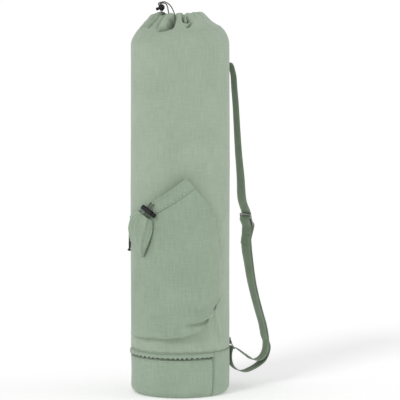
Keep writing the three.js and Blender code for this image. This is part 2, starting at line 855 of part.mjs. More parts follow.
function makeStrap() {
  const patch = [0, 0.5, 1].map((share) => station(
    webbingSeat,
    strapTop - strapPatchBelow - strapPatchLength * (1 - share),
    strapPatchTurn,
  ));
  const above = smoothRun(
    [...patch, ...upperRun.map(aboveSlider), sliderPlace(throughSlider[0])],
    longStrapStep,
  );
  const inner = smoothRun([
    sliderPlace(throughSlider[throughSlider.length - 1]),
    ...innerRun.map(belowSlider),
    ...innerFoot.map(belowSeam),
  ], strapStep);
  const wrap = aroundBar(outerBar, 63, 168, 5, ringTurn);
  const layer = strapThickness + strandSlack;
  const besideInner = layerOutside(innerRun.slice(1).map(belowSlider), -layer).reverse();
  const outer = smoothRun([
    ...outerFoot.map(belowSeam),
    ...besideInner,
    sliderPlace(roundMiddleBar[0]),
  ], strapStep);
  const tailStart = sliderPlace(roundMiddleBar[roundMiddleBar.length - 1]);
  const tail = [0.25, 0.5, 0.75, 1].map((share) => {
    const height = tailStart.height - share * tailLength;
    const beside = outer.reduce((best, one) => (
      Math.abs(one.height - height) < Math.abs(best.height - height) ? one : best
    ));
    const reach = beside.reach - (strapThickness + clearance) - (beside.height - height) * 0.02;
    return station(mix(tailStart.reach, reach, Math.min(share * 2, 1)), height, beside.turn);
  });
  const run = [
    ...above,
    ...throughSlider.slice(1, -1).map(sliderPlace),
    ...inner,
    ...wrap,
    ...outer,
    ...roundMiddleBar.slice(1).map(sliderPlace),
    ...tail,
  ];
  const stations = run.map((one) => ({
    centre: onTube(one.turn, one.reach, one.height),
    side: strapSide(one.turn, one.height),
  }));
  add('shoulder_strap', strip(stations, strapWidth, strapThickness), webbing);
}

// A rounded rectangle centred at x = 0 and at the given height.
function roundedRectangle(Kind, width, height, centre, radius) {
  const shape = new Kind();
  const [right, top] = [width / 2 - radius, height / 2 - radius];
  if (radius === 0) {
    shape.moveTo(right, centre + top);
    for (const [x, y] of [[-1, 1], [-1, -1], [1, -1]]) shape.lineTo(x * right, centre + y * top);
    shape.closePath();
    return shape;
  }
  shape.absarc(right, centre + top, radius, 0, Math.PI / 2, false);
  shape.absarc(-right, centre + top, radius, Math.PI / 2, Math.PI, false);
  shape.absarc(-right, centre - top, radius, Math.PI, 1.5 * Math.PI, false);
  shape.absarc(right, centre - top, radius, 1.5 * Math.PI, 2 * Math.PI, false);
  shape.closePath();
  return shape;
}

// A flat metal frame with bevelled edges, centred on its own origin.
function frameGeometry(shape, thickness, bevel) {
  const geometry = new THREE.ExtrudeGeometry(shape, {
    depth: thickness - 2 * bevel,
    bevelEnabled: true,
    bevelThickness: bevel,
    bevelSize: bevel,
    bevelOffset: -bevel,
    bevelSegments: 1,
    curveSegments: 3,
  });
  geometry.translate(0, 0, bevel - thickness / 2);
  return geometry;
}

function placeFrame(mesh, side, up, centre) {
  const out = side.clone().cross(up).normalize();
  mesh.quaternion.setFromRotationMatrix(new THREE.Matrix4().makeBasis(side, up, out));
  mesh.position.copy(centre);
}

function makeStrapHardware() {
  const slotHeight = (sliderHeight - 3 * sliderBar) / 2;
  const slotCentre = (sliderBar + slotHeight) / 2;
  const slotAcross = sliderWidth - 2 * sliderRail;
  const sliderShape = roundedRectangle(THREE.Shape, sliderWidth, sliderHeight, 0, 3);
  for (const place of [slotCentre, -slotCentre]) {
    sliderShape.holes.push(roundedRectangle(THREE.Path, slotAcross, slotHeight, place, 0));
  }
  const slider = add('strap_slider', frameGeometry(sliderShape, sliderThickness, 0.5), darkMetal);
  const lean = radians(sliderLean);
  const side = strapSide(sliderTurn, sliderCentreHeight);
  const up = onTube(sliderTurn, -Math.sin(lean), Math.cos(lean));
  up.addScaledVector(side, -up.dot(side)).normalize();
  placeFrame(slider, side, up, onTube(sliderTurn, strapReach(sliderOut), sliderCentreHeight));

  const ringShape = roundedRectangle(THREE.Shape, ringWidth, ringHeight, 0, 3);
  const hole = [ringWidth - 2 * ringWire, ringHeight - 2 * ringWire];
  ringShape.holes.push(roundedRectangle(THREE.Path, ...hole, 0, 0));
  const ring = add('strap_ring', frameGeometry(ringShape, ringWire, 0.6), darkMetal);
  const tilt = radians(ringTilt);
  const ringUp = onTube(ringTurn, -Math.sin(tilt), Math.cos(tilt));
  const middle = onTube(
    ringTurn,
    (innerBar.reach + outerBar.reach) / 2,
    (innerBar.height + outerBar.height) / 2,
  );
  placeFrame(ring, sideways(ringTurn), ringUp, middle);

  const lap = strapThickness + clearance;
  const tabTop = innerBar.height + tabLength;
  const tabRun = [
    station(webbingSeat, tabTop, ringTurn),
    station(webbingSeat, innerBar.height + ringWire / 2, ringTurn),
    ...aroundBar(innerBar, 180, 360, 6, ringTurn),
    station(webbingSeat + lap + 2 * clearance, innerBar.height + ringWire + foldRadius, ringTurn),
    station(webbingSeat + lap, tabTop, ringTurn),
  ];
  const stations = tabRun.map((one) => ({
    centre: onTube(one.turn, one.reach, one.height),
    side: sideways(one.turn),
  }));
  add('ring_tab', strip(stations, strapWidth, strapThickness), webbing);
}

function turned(profile, sides) {
  return new THREE.LatheGeometry(profile.map(([radius, along]) => new THREE.Vector2(radius, along)), sides);
}

// A slot right through a lock, across its axis.
function slotCutter(length, place, reach) {
  const shape = roundedRectangle(THREE.Shape, slotWidth, length, place, slotWidth / 2 - 0.1);
  const cutter = new THREE.ExtrudeGeometry(shape, { depth: 2 * reach, bevelEnabled: false, curveSegments: 2 });
  cutter.translate(0, 0, -reach);
  return toSolid(cutter);
}

// The two halves of a cord lock along +Y from its closed end: the housing and the button
// that presses into it. Both have a slot for the cords, the button's longer by its press.
function cordLock(sizes) {
  const { housing, mouth, bore, floor, press, slotPlace, slotLength, cap, capRadius } = sizes;
  const shaft = bore - runningGap;
  const start = floor + press + runningGap;
  const capStart = mouth + press + runningGap;
  const button = turned([
    [0, start],
    [shaft, start],
    [shaft, capStart],
    [capRadius, capStart],
    [capRadius, capStart + cap - 1],
    [capRadius - 0.8, capStart + cap],
    [0, capStart + cap],
  ], 12);
  const slot = slotCutter(slotLength, slotPlace, 10);
  const longer = slotCutter(slotLength + press, slotPlace + press / 2, 10);
  return {
    housing: toGeometry(toSolid(turned(housing, 12)).subtract(slot)),
    button: toGeometry(toSolid(button).subtract(longer)),
  };
}

// Sets a lock by the place of its origin, its axis and the way its cords run.
function placeLock(name, lock, origin, axis, cordWay) {
  const across = axis.clone().cross(cordWay).normalize();
  const basis = new THREE.Matrix4().makeBasis(across, axis, cordWay);
  for (const [half, geometry] of Object.entries(lock)) {
    const mesh = add(`${name}_${half}`, geometry, blackPlastic);
    mesh.quaternion.setFromRotationMatrix(basis);
    mesh.position.copy(origin);
  }
}

function makePocketLock() {
  const edge = 0.8;
  const lock = cordLock({
    housing: [
      [0, 0], [barrelRadius - edge, 0], [barrelRadius, edge], [barrelRadius, barrelLength - edge],
      [barrelRadius - edge / 2, barrelLength], [barrelBore, barrelLength], [barrelBore, barrelFloor],
      [0, barrelFloor],
    ],
    mouth: barrelLength,
    bore: barrelBore,
    floor: barrelFloor,
    press: barrelPress,
    slotPlace: barrelSlotPlace,
    slotLength: barrelSlotLength,
    cap: barrelCap,
    capRadius: barrelRadius - 0.3,
  });
  const slope = radians(barrelSlope);
  const up = new THREE.Vector3(0, 0, 1);
  const side = sideways(barrelTurn);
  const axis = side.clone().multiplyScalar(Math.cos(slope)).addScaledVector(up, -Math.sin(slope));
  const cordWay = side.clone().multiplyScalar(-Math.sin(slope)).addScaledVector(up, -Math.cos(slope));
  const reach = pocketReach(barrelTurn, barrelHeight) + clearance + barrelRadius;
  const whole = barrelLength + barrelPress + runningGap + barrelCap;
  const origin = onTube(barrelTurn, reach, barrelHeight).addScaledVector(axis, -whole / 2);
  placeLock('pocket_lock', lock, origin, axis, cordWay);
  return { origin, axis, cordWay };
}

function ballProfile() {
  const profile = [];
  const end = Math.acos(-ballMouth / ballRadius);
  for (let step = 0; step <= 7; step += 1) {
    const angle = end * step / 7;
    profile.push([ballRadius * Math.sin(angle), ballRadius - ballRadius * Math.cos(angle)]);
  }
  profile[0][0] = 0;
  const mouth = ballRadius + ballMouth;
  return [...profile, [ballBore, mouth], [ballBore, ballFloor], [0, ballFloor]];
}

const topLockAxis = new THREE.Vector3(-0.94, 0, -0.34).normalize();
const topLockCordWay = new THREE.Vector3(0.34, 0, -0.94).normalize();
const topLockCentre = new THREE.Vector3(-33.6, -14, 705.8);

function makeTopLock() {
  const lock = cordLock({
    housing: ballProfile(),
    mouth: ballRadius + ballMouth,
    bore: ballBore,
    floor: ballFloor,
    press: ballPress,
    slotPlace: ballSlotPlace,
    slotLength: ballSlotLength,
    cap: ballCap,
    capRadius: 2.8,
  });
  const origin = topLockCentre.clone().addScaledVector(topLockAxis, -ballRadius);
  placeLock('top_lock', lock, origin, topLockAxis, topLockCordWay);
  return { origin, axis: topLockAxis, cordWay: topLockCordWay };
}

function knotAt(name, centre) {
  const geometry = new THREE.SphereGeometry(knotRadius, 10, 6);
  const mesh = add(name, geometry, cordStuff);
  mesh.position.copy(centre);
}

// A cord's whole way: its start, straight through a lock's slot, and its end. The distances
// along are from the middle of the slot, and aside is the strand's place across it.
function throughLock(lock, slotPlace, aside, start, passing, end) {
  const slot = lock.origin.clone().addScaledVector(lock.axis, slotPlace + aside);
  return [
    ...start.map((row) => onTube(...row)),
    ...passing.map((along) => slot.clone().addScaledVector(lock.cordWay, along)),
    ...end.map((row) => onTube(...row)),
  ];
}

function makeTopCords(lock) {
  const passing = [-8.5, -7, -4, 0, 4, 7.2];
  const strand = (aside, start, from) => (
    throughLock(lock, ballSlotPlace, aside, start, passing.slice(from), [])
  );
  const a = strand(topStrandAside, drawstringStartA, 0);
  const b = strand(-topStrandAside, drawstringStartB, 1);
  add('drawstring_a', cordTube(a, cordDiameter, 17), cordStuff);
  add('drawstring_b', cordTube(b, cordDiameter, 12), cordStuff);
  const slot = lock.origin.clone().addScaledVector(lock.axis, ballSlotPlace - 0.6);
  knotAt('drawstring_knot', slot.addScaledVector(lock.cordWay, topKnotBelow));
}

function makePocketCords(lock) {
  const passing = [-9, -5, 0, 5];
  const strand = (aside, start, end) => (
    throughLock(lock, barrelSlotPlace, aside, start, passing, end)
  );
  const a = strand(pocketStrandAside, pocketCordStartA, pocketCordEndA);
  const b = strand(-pocketStrandAside, pocketCordStartB, pocketCordEndB);
  add('pocket_cord_a', cordTube(a, cordDiameter, 21), cordStuff);
  add('pocket_cord_b', cordTube(b, cordDiameter, 24), cordStuff);
  const tip = new THREE.CylinderGeometry(tipRadius, tipRadius * 0.8, tipLength, 10);
  tip.rotateX(Math.PI / 2);
  const tipMesh = add('pocket_cord_tip', tip, blackPlastic);
  tipMesh.position.copy(a[a.length - 1]).add(new THREE.Vector3(0, 0, -clearance - tipLength / 2));
  const below = new THREE.Vector3(0, 0, -clearance - knotRadius);
  knotAt('pocket_cord_knot', b[b.length - 1].clone().add(below));
}

makeMainBody();
makeWetCompartment();
makeZipSlider();
makePocket();
makePocketGather();
makeStrap();
makeStrapHardware();
makePocketCords(makePocketLock());
makeTopCords(makeTopLock());

export default bag;
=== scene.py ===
"""The looks of a drawstring yoga mat bag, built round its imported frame.

Lengths are metres and the frame is the part's own: the base stands on z = 0, the front faces
-Y and +X is the photograph's right. A turn is an angle about the tube's axis in degrees, from
the front towards +X, and a reach is a distance from that axis. A row of a table is a share of
a named size, as in the part's source.
"""

import math

import bpy
import numpy as np
from mathutils import Matrix, Vector


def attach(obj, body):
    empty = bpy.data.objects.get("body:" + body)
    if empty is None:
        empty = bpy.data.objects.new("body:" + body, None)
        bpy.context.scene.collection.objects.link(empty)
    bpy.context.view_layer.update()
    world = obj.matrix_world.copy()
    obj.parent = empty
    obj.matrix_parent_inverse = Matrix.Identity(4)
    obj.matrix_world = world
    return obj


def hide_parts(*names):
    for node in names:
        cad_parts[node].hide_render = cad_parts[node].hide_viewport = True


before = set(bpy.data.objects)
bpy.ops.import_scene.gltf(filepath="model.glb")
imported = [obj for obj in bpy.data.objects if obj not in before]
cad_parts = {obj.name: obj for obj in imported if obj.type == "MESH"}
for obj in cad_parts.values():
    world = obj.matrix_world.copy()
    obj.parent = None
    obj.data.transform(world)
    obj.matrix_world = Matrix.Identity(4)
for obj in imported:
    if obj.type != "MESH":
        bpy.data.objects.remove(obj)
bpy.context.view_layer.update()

# Camera, at the photograph's place and angle
CAMERA_PLACE = (0.0362, -7.0, 1.1382)
CAMERA_PITCH = 6.4
CAMERA_LENS = 347.2
SENSOR_WIDTH = 36

# Cloth and fits
CLOTH_WALL = 0.0016
CLEARANCE = 0.0003
FINE_EDGE = 0.0009
SOFT_CREASE = 50
TOOTH_CREASE = 40
HARD_CREASE = 35

# Tube and gathered top
TUBE_RADIUS = 0.090
TUBE_TOP = 0.636
TOP_HEIGHT = 0.057
MOUTH_RADIUS = 0.009
FOLD_DEPTH = 0.009
FINE_TURNS = 62
FINE_STEP = 0.5
COARSE_STEP = 1.5
TUBE_ROWS = 50
TOP_ROWS_FINE = 108
SEAM_ROWS = (0.0016, 0.0024, 0.0034, 0.005, 0.0075)
CASING_SHARE = 0.315

# One degree's length round the tube
ONE_DEGREE = math.radians(1) * TUBE_RADIUS

# Wet compartment in the base
SEAM_HEIGHT = 0.082
BASE_ROUND = 0.0145
FLAP_HEIGHT = 0.0051
ZIP_TAPE_HEIGHT = 0.0063
ZIP_TAPE_THICKNESS = 0.001
ZIP_TAPE_SINK = 0.0006
ZIP_START_TURN = -137
ZIP_END_TURN = 42.4
ZIP_SLIDER_TURN = -131
ZIP_PULL_WIDTH = 0.006
ZIP_PULL_LENGTH = 0.0215
ZIP_PULL_THICKNESS = 0.0016
TOOTH_PITCH = 0.0021
TOOTH_LENGTH = 0.0021
TOOTH_WIDTH = 0.0013
TOOTH_DEPTH = 0.0014

# Bottle pocket
POCKET_LIFT = 0.028
POCKET_HEIGHT = 0.294
POCKET_DEPTH = 0.019
HEM_WIDTH = 0.022
HEM_THICKNESS = 0.0026
HEM_SEAM_SHARE = 0.14
POCKET_OVERHANG = 0.0056

# Gathered end of the pocket hem
GATHER_TOP_HEIGHT = 0.343
GATHER_LENGTH = 0.085
CORD_ROOM = 0.0085

# Stitches
STITCH_LENGTH = 0.0026
STITCH_GAP = 0.0013
THREAD_RADIUS = 0.00028
SEAM_ALLOWANCE = 0.0035
SEAM_ASIDE = 1.9

# Shoulder strap and its hardware
STRAP_WIDTH = 0.025
STRAP_THICKNESS = 0.0015
WEBBING_EDGE = 0.0008
RIB_PITCH = 0.0022
RIB_DEPTH = 0.00013
STRAND_PITCH = 0.0009
# Where the strap's colour turns lighter in a band inside each edge, and darker at its outermost edge
EDGE_LIGHT_BAND = 0.0082
EDGE_DARK_BAND = 0.0106
EDGE_BAND_FADE = 0.0006
STRAP_STAND_OFF = 0.094
STRAP_TOP = 0.600
STRAP_DROP = 0.0534
STRAP_PATCH_LENGTH = 0.033
STRAP_PATCH_BELOW = 0.012
STRAP_PATCH_TURN = 118
STRAND_SLACK = 0.0011
TAIL_LENGTH = 0.034
TWIST_LENGTH = 0.090
MOST_TWIST = 10
SLIDER_WIDTH = 0.030
SLIDER_HEIGHT = 0.024
SLIDER_BAR = 0.003
SLIDER_RAIL = 0.002
SLIDER_THICKNESS = 0.0025
SLIDER_OUT = 0.598
SLIDER_CENTRE_HEIGHT = 0.308
SLIDER_TURN = 123.5
SLIDER_LEAN = 15
RING_WIDTH = 0.031
RING_HEIGHT = 0.016
RING_WIRE = 0.0025
RING_TURN = 108
RING_TILT = 33
RING_BAR_RISE = 0.0055
TAB_LENGTH = 0.0095
METAL_CORNER = 0.003
METAL_SLOT_CORNER = 0.0008
SLIDER_BEVEL = 0.00075
RING_BEVEL = 0.0011

# Cords and cord locks
CORD_DIAMETER = 0.0022
BRAID_PITCH = 0.0042
BARREL_RADIUS = 0.0045
BARREL_LENGTH = 0.024
BARREL_PRESS = 0.0035
BARREL_SLOT_PLACE = 0.014
BALL_RADIUS = 0.006
BALL_MOUTH = 0.0046
BALL_PRESS = 0.0024
BALL_SLOT_PLACE = 0.0075
BARREL_FLOOR = 0.0025
BARREL_BORE = 0.0032
BARREL_EDGE = 0.0009
BARREL_RIB_DEPTH = 0.055
BARREL_RIB_START = 0.0012
BARREL_SLOT_LENGTH = 0.0096
BALL_FLOOR = 0.0014
BALL_BORE = 0.003
BALL_SLOT_LENGTH = 0.0054
CORD_SLOT_WIDTH = 0.003
CORD_SLOT_REACH = 0.010
KNOT_RADIUS = 0.0034
TIP_RADIUS = 0.0019
TIP_LENGTH = 0.0135

# Relief of the cloth: how far its drape, seams and puckers stand in or out
DRAPE_DEPTH = 0.0007
FINE_DRAPE_DEPTH = 0.00025
SEAM_PULL = 0.0005
SEAM_TURN_IN = 0.0027
SEAM_TURN_IN_WIDTH = 0.0016
CASING_GATHER_DEPTH = 0.00045
CASING_SEAM_DEPTH = 0.0007
RUMPLE_DEPTH = 0.0007
PANEL_SLACK = 0.0008
PANEL_PULL = 0.0004
SIDE_SEAM_DEPTH = 0.0022
SIDE_SEAM_WIDTH = 0.0021
PANEL_LIP = 0.0016
FLAP_PUFF = 0.0011
FLAP_UNEVENNESS = 0.0003
FLAP_TURN_IN = 0.0024
FLOOR_SLACK = 0.0005
POCKET_SLACK = 0.0005
POCKET_PUCKER = 0.0007
POCKET_ROLL = 0.0011
HEM_GROOVE = 0.0007
HEM_PULL = 0.0005
HEM_PIPING = 0.0016
HEM_DIP = 0.0006
HEM_CURL = 0.0022
HEM_RUFFLE = 0.0016
RUFFLE_PITCH = 0.032


def on_tube(turn, reach, height):
    angle = np.radians(turn)
    parts = (reach * np.sin(angle), -reach * np.cos(angle), height + 0 * angle)
    return np.stack(np.broadcast_arrays(*parts), axis=-1)


def sideways(turn):
    angle = math.radians(turn)
    return Vector((math.cos(angle), math.sin(angle), 0))


def smoothstep(low, high, value):
    share = np.clip((value - low) / (high - low), 0, 1)
    return share * share * (3 - 2 * share)


def bump_of(distance):
    return np.exp(-distance * distance)


def lengths_along(points):
    """How far along a line each of its points lies."""
    steps = np.linalg.norm(np.diff(points, axis=0), axis=1)
    return np.concatenate([[0], np.cumsum(steps)])


def spline(points, spacing=None, count=None):
    """Evenly spaced points along a centripetal Catmull-Rom curve through the given ones."""
    given = np.array(points, float)
    ends = [2 * given[0] - given[1], *given, 2 * given[-1] - given[-2]]
    dense = []
    for a, b, c, d in zip(ends, ends[1:], ends[2:], ends[3:]):
        pairs = ((a, b), (b, c), (c, d))
        first, middle, last = (max(np.linalg.norm(q - p), 1e-9) ** 0.5 for p, q in pairs)
        start = ((b - a) / first - (c - a) / (first + middle) + (c - b) / middle) * middle
        stop = ((c - b) / middle - (d - b) / (middle + last) + (d - c) / last) * middle
        for t in np.arange(0, 1, 1 / 32):
            dense.append(
                b + t * start + t * t * (3 * (c - b) - 2 * start - stop)
                + t ** 3 * (start + stop - 2 * (c - b))
            )
    dense.append(given[-1])
    dense = np.array(dense)
    along = lengths_along(dense)
    if count is None:
        count = max(3, int(round(along[-1] / spacing)) + 1)
    wanted = np.linspace(0, along[-1], count)
    return np.stack([np.interp(wanted, along, dense[:, k]) for k in range(dense.shape[1])], axis=1)


def read_table(rows, at):
    """Smooth values between the rows of a table of places and values."""
    places, values = (np.array(column, float) for column in zip(*rows))
    upper = np.clip(np.searchsorted(places, at), 1, len(places) - 1)
    share = np.clip((at - places[upper - 1]) / (places[upper] - places[upper - 1]), 0, 1)
    eased = 0.5 * share * share * (3 - 2 * share) + 0.5 * share
    return values[upper - 1] + (values[upper] - values[upper - 1]) * eased


def waves(points, seed, size, count=7):
    """A soft random relief from -1 to 1 over points in space, the same on every run."""
    generator = np.random.default_rng(seed)
    total = np.zeros(points.shape[:-1])
    for _ in range(count):
        direction = generator.normal(size=3)
        direction /= np.linalg.norm(direction)
        length = size * generator.uniform(0.7, 1.6)
        total += np.sin(points @ direction * 2 * math.pi / length + generator.uniform(0, 2 * math.pi))
    return total / count ** 0.5 / 1.4


def link(obj):
    bpy.context.scene.collection.objects.link(obj)
    return obj


def smooth(mesh, sharp):
    """Smooth shading, with creases where faces meet at more than an angle."""
    mesh.shade_smooth()
    mesh.set_sharp_from_angle(angle=math.radians(sharp))


def make_mesh(name, points, faces, corner_uvs=None, sharp=SOFT_CREASE):
    mesh = bpy.data.meshes.new(name)
    mesh.from_pydata(np.asarray(points, float).reshape(-1, 3).tolist(), [], faces)
    if corner_uvs is not None:
        layer = mesh.uv_layers.new(name="weave")
        layer.data.foreach_set("uv", np.asarray(corner_uvs, np.float32).ravel())
    smooth(mesh, sharp)
    mesh.update()
    return link(bpy.data.objects.new(name, mesh))


def stack_faces(first, rings, sides, closes=False):
    """Faces round a stack of rings of points, with flat ends unless it closes on itself."""
    faces = []
    for ring in range(rings if closes else rings - 1):
        low = first + ring * sides
        high = first + (ring + 1) % rings * sides
        for side in range(sides):
            beside = (side + 1) % sides
            faces.append((low + side, low + beside, high + beside, high + side))
    if not closes:
        faces.append(tuple(range(first, first + sides))[::-1])
        faces.append(tuple(range(first + (rings - 1) * sides, first + rings * sides)))
    return faces


def shell(name, front, back, uv, closes=False):
    """A closed solid between two grids of points. uv holds a place in metres for each grid point
    of the front, with one more column when the grid closes round."""
    rows, columns = front.shape[:2]
    back_rows = back.shape[0]
    spans = columns if closes else columns - 1
    column = np.arange(spans)
    beside = (column + 1) % columns
    faces, corners = [], []

    def band(low, high, left, right, low_uv, high_uv, turned):
        quad = np.stack([low + left, low + right, high + right, high + left], axis=-1)
        place = [low_uv[:spans], low_uv[1:spans + 1], high_uv[1:spans + 1], high_uv[:spans]]
        place = np.stack(place, axis=1)
        if turned:
            quad, place = quad[:, ::-1], place[:, ::-1]
        faces.append(quad)
        corners.append(place)

    for row in range(rows - 1):
        band(row * columns, (row + 1) * columns, column, beside, uv[row], uv[row + 1], False)
    offset = rows * columns
    back_uv = uv[np.linspace(0, rows - 1, back_rows).round().astype(int)]
    for row in range(back_rows - 1):
        low = offset + row * columns
        band(low, low + columns, column, beside, back_uv[row], back_uv[row + 1], True)
    band(offset, 0, column, beside, uv[0], uv[0], False)
    last = (rows - 1) * columns
    band(offset + (back_rows - 1) * columns, last, column, beside, uv[-1], uv[-1], True)
    if not closes:
        row = np.arange(rows - 1) * columns
        for edge, turned in ((0, True), (columns - 1, False)):
            low = row + edge
            quad = np.stack([low, low + columns, low + columns + offset, low + offset], axis=1)
            place = np.stack([uv[:-1, edge], uv[1:, edge], uv[1:, edge], uv[:-1, edge]], axis=1)
            faces.append(quad[:, ::-1] if turned else quad)
            corners.append(place[:, ::-1] if turned else place)
    quads = np.concatenate(faces)
    places = np.concatenate(corners)
    points = np.concatenate([front.reshape(-1, 3), back.reshape(-1, 3)])
    a, b, c, d = np.moveaxis(points[quads] - points.mean(axis=0), 1, 0)
    volume = np.einsum("ij,ij->i", a, np.cross(b, c) + np.cross(c, d)).sum()
    if volume < 0:
        quads, places = quads[:, ::-1], places[:, ::-1]
    return make_mesh(name, points, quads.tolist(), places)


def edge_round(distance, size=FINE_EDGE):
    """1 away from a border, falling to 0 at it along a quarter circle."""
    near = 1 - np.clip(distance / size, 0, 1)
    return np.sqrt(np.clip(1 - near * near, 0, 1))


def edged(count, length, edge=FINE_EDGE):
    """Shares from 0 to 1 with extra ones close to both ends, for rounded borders."""
    near = np.array([0.0, 0.08, 0.3, 0.65, 1.0]) * edge / length
    return np.unique(np.concatenate([near, np.linspace(near[-1], 1 - near[-1], count), 1 - near]))


def ride(obj, material, slot, *nodes):
    obj.data.materials.clear()
    obj.data.materials.append(material)
    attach(obj, "bag")
    if nodes:
        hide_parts(*nodes)
    return obj


def settle(obj):
    """Makes an object's modifiers, or a curve's shape, its mesh."""
    graph = bpy.context.evaluated_depsgraph_get()
    mesh = bpy.data.meshes.new_from_object(obj.evaluated_get(graph))
    if obj.type == "MESH":
        obj.modifiers.clear()
        obj.data = mesh
        return obj
    made = link(bpy.data.objects.new(obj.name + "_mesh", mesh))
    name = obj.name
    bpy.data.objects.remove(obj)
    made.name = name
    return made


def make_camera():
    data = bpy.data.cameras.new("camera")
    data.lens = CAMERA_LENS
    data.sensor_width = SENSOR_WIDTH
    camera = link(bpy.data.objects.new("camera", data))
    camera.location = CAMERA_PLACE
    camera.rotation_euler = (math.radians(90 - CAMERA_PITCH), 0, 0)
    bpy.context.scene.camera = camera


def add_node(tree, kind, inputs=None, **settings):
    node = tree.nodes.new("ShaderNode" + kind)
    for key, value in settings.items():
        setattr(node, key, value)
    for key, value in (inputs or {}).items():
        socket = node.inputs[key]
        if isinstance(value, bpy.types.NodeSocket):
            tree.links.new(value, socket)
        else:
            socket.default_value = value
    return node


def math_node(tree, operation, first, second=None):
    inputs = {0: first} if second is None else {0: first, 1: second}
    return add_node(tree, "Math", inputs, operation=operation).outputs[0]


def linear(red, green, blue):
    """A linear colour from an 8 bit sRGB one."""
    parts = [value / 255 for value in (red, green, blue)]
    return tuple(v / 12.92 if v <= 0.04045 else ((v + 0.055) / 1.055) ** 2.4 for v in parts) + (1,)


def new_material(name, roughness, metallic=0, specular=0.3, sheen=0):
    material = bpy.data.materials.new(name)
    material.use_nodes = True
    shader = material.node_tree.nodes["Principled BSDF"]
    shader.inputs["Roughness"].default_value = roughness
    shader.inputs["Metallic"].default_value = metallic
    shader.inputs["Specular IOR Level"].default_value = specular
    shader.inputs["Sheen Weight"].default_value = sheen
    shader.inputs["Sheen Roughness"].default_value = 0.45
    return material, material.node_tree, shader


def product(tree, *factors):
    total = factors[0]
    for factor in factors[1:]:
        total = math_node(tree, "MULTIPLY", total, factor)
    return total


def noise(tree, place, size, detail=2, rough=0.5):
    inputs = {"Vector": place, "Scale": 1 / size, "Detail": detail, "Roughness": rough}
    return add_node(tree, "TexNoise", inputs).outputs["Fac"]


def stretched_noise(tree, place, scale, detail):
    """Noise with its own number of changes a metre along each axis."""
    place = add_node(tree, "Mapping", {"Vector": place, "Scale": scale}).outputs["Vector"]
    return add_node(tree, "TexNoise", {"Vector": place, "Scale": 1, "Detail": detail}).outputs["Fac"]


def ranged(tree, value, low, high, to_low, to_high):
    inputs = {"Value": value, "From Min": low, "From Max": high, "To Min": to_low, "To Max": to_high}
    return add_node(tree, "MapRange", inputs).outputs["Result"]


def tinted(tree, colour, factor):
    """A colour made lighter or darker by a number that varies over the surface."""
    combined = add_node(tree, "CombineColor", {"Red": factor, "Green": factor, "Blue": factor})
    mixed = add_node(tree, "Mix", None, data_type="RGBA", blend_type="MULTIPLY")
    mixed.inputs["Factor"].default_value = 1
    if isinstance(colour, bpy.types.NodeSocket):
        tree.links.new(colour, mixed.inputs["A"])
    else:
        mixed.inputs["A"].default_value = colour
    tree.links.new(combined.outputs[0], mixed.inputs["B"])
    return mixed.outputs["Result"]


def bumped(tree, shader, height, distance, strength=1.0):
    inputs = {"Height": height, "Distance": distance, "Strength": strength}
    bump = add_node(tree, "Bump", inputs)
    tree.links.new(bump.outputs["Normal"], shader.inputs["Normal"])


# Thick and thin threads that show as streaks: how often they change across and up, and how much
STREAKS = (((480, 34, 1), 0.06), ((40, 520, 1), 0.045))
MOTTLE = 0.05


def cloth_material(name, colour, pitch=0.00062):
    """Plain woven polyester: crossing threads, slubs, faint mottling and a soft sheen."""
    material, tree, shader = new_material(name, 0.88, specular=0.2, sheen=0.3)
    weave = add_node(tree, "UVMap", uv_map="weave").outputs["UV"]
    place = add_node(tree, "TexCoord").outputs["Object"]
    split = add_node(tree, "SeparateXYZ", {0: weave})
    turns = 2 * math.pi / pitch
    warp, weft = (math_node(tree, "SINE", product(tree, split.outputs[axis], turns)) for axis in (0, 1))
    threads = ranged(tree, product(tree, warp, weft), -1, 1, 0, 1)
    fuzz = noise(tree, place, 0.0009, 3, 0.6)
    slub = stretched_noise(tree, weave, (260, 1500, 1), 1)
    uneven = math_node(tree, "ADD", fuzz, product(tree, slub, 0.8))
    height = math_node(tree, "ADD", threads, uneven)
    patches = noise(tree, place, 0.045, 3, 0.55)
    shades = [
        ranged(tree, patches, 0.25, 0.75, 1 - MOTTLE, 1 + MOTTLE),
        ranged(tree, threads, 0, 1, 0.93, 1.04),
        ranged(tree, slub, 0.3, 0.7, 0.975, 1.025),
    ]
    for scale, strength in STREAKS:
        streak = stretched_noise(tree, weave, scale, 2)
        shades.append(ranged(tree, streak, 0.3, 0.7, 1 - strength, 1 + strength))
    shade = product(tree, *shades)
    tree.links.new(tinted(tree, colour, shade), shader.inputs["Base Color"])
    tree.links.new(ranged(tree, fuzz, 0.3, 0.7, 0.82, 0.95), shader.inputs["Roughness"])
    bumped(tree, shader, height, 0.00012, 0.7)
    return material


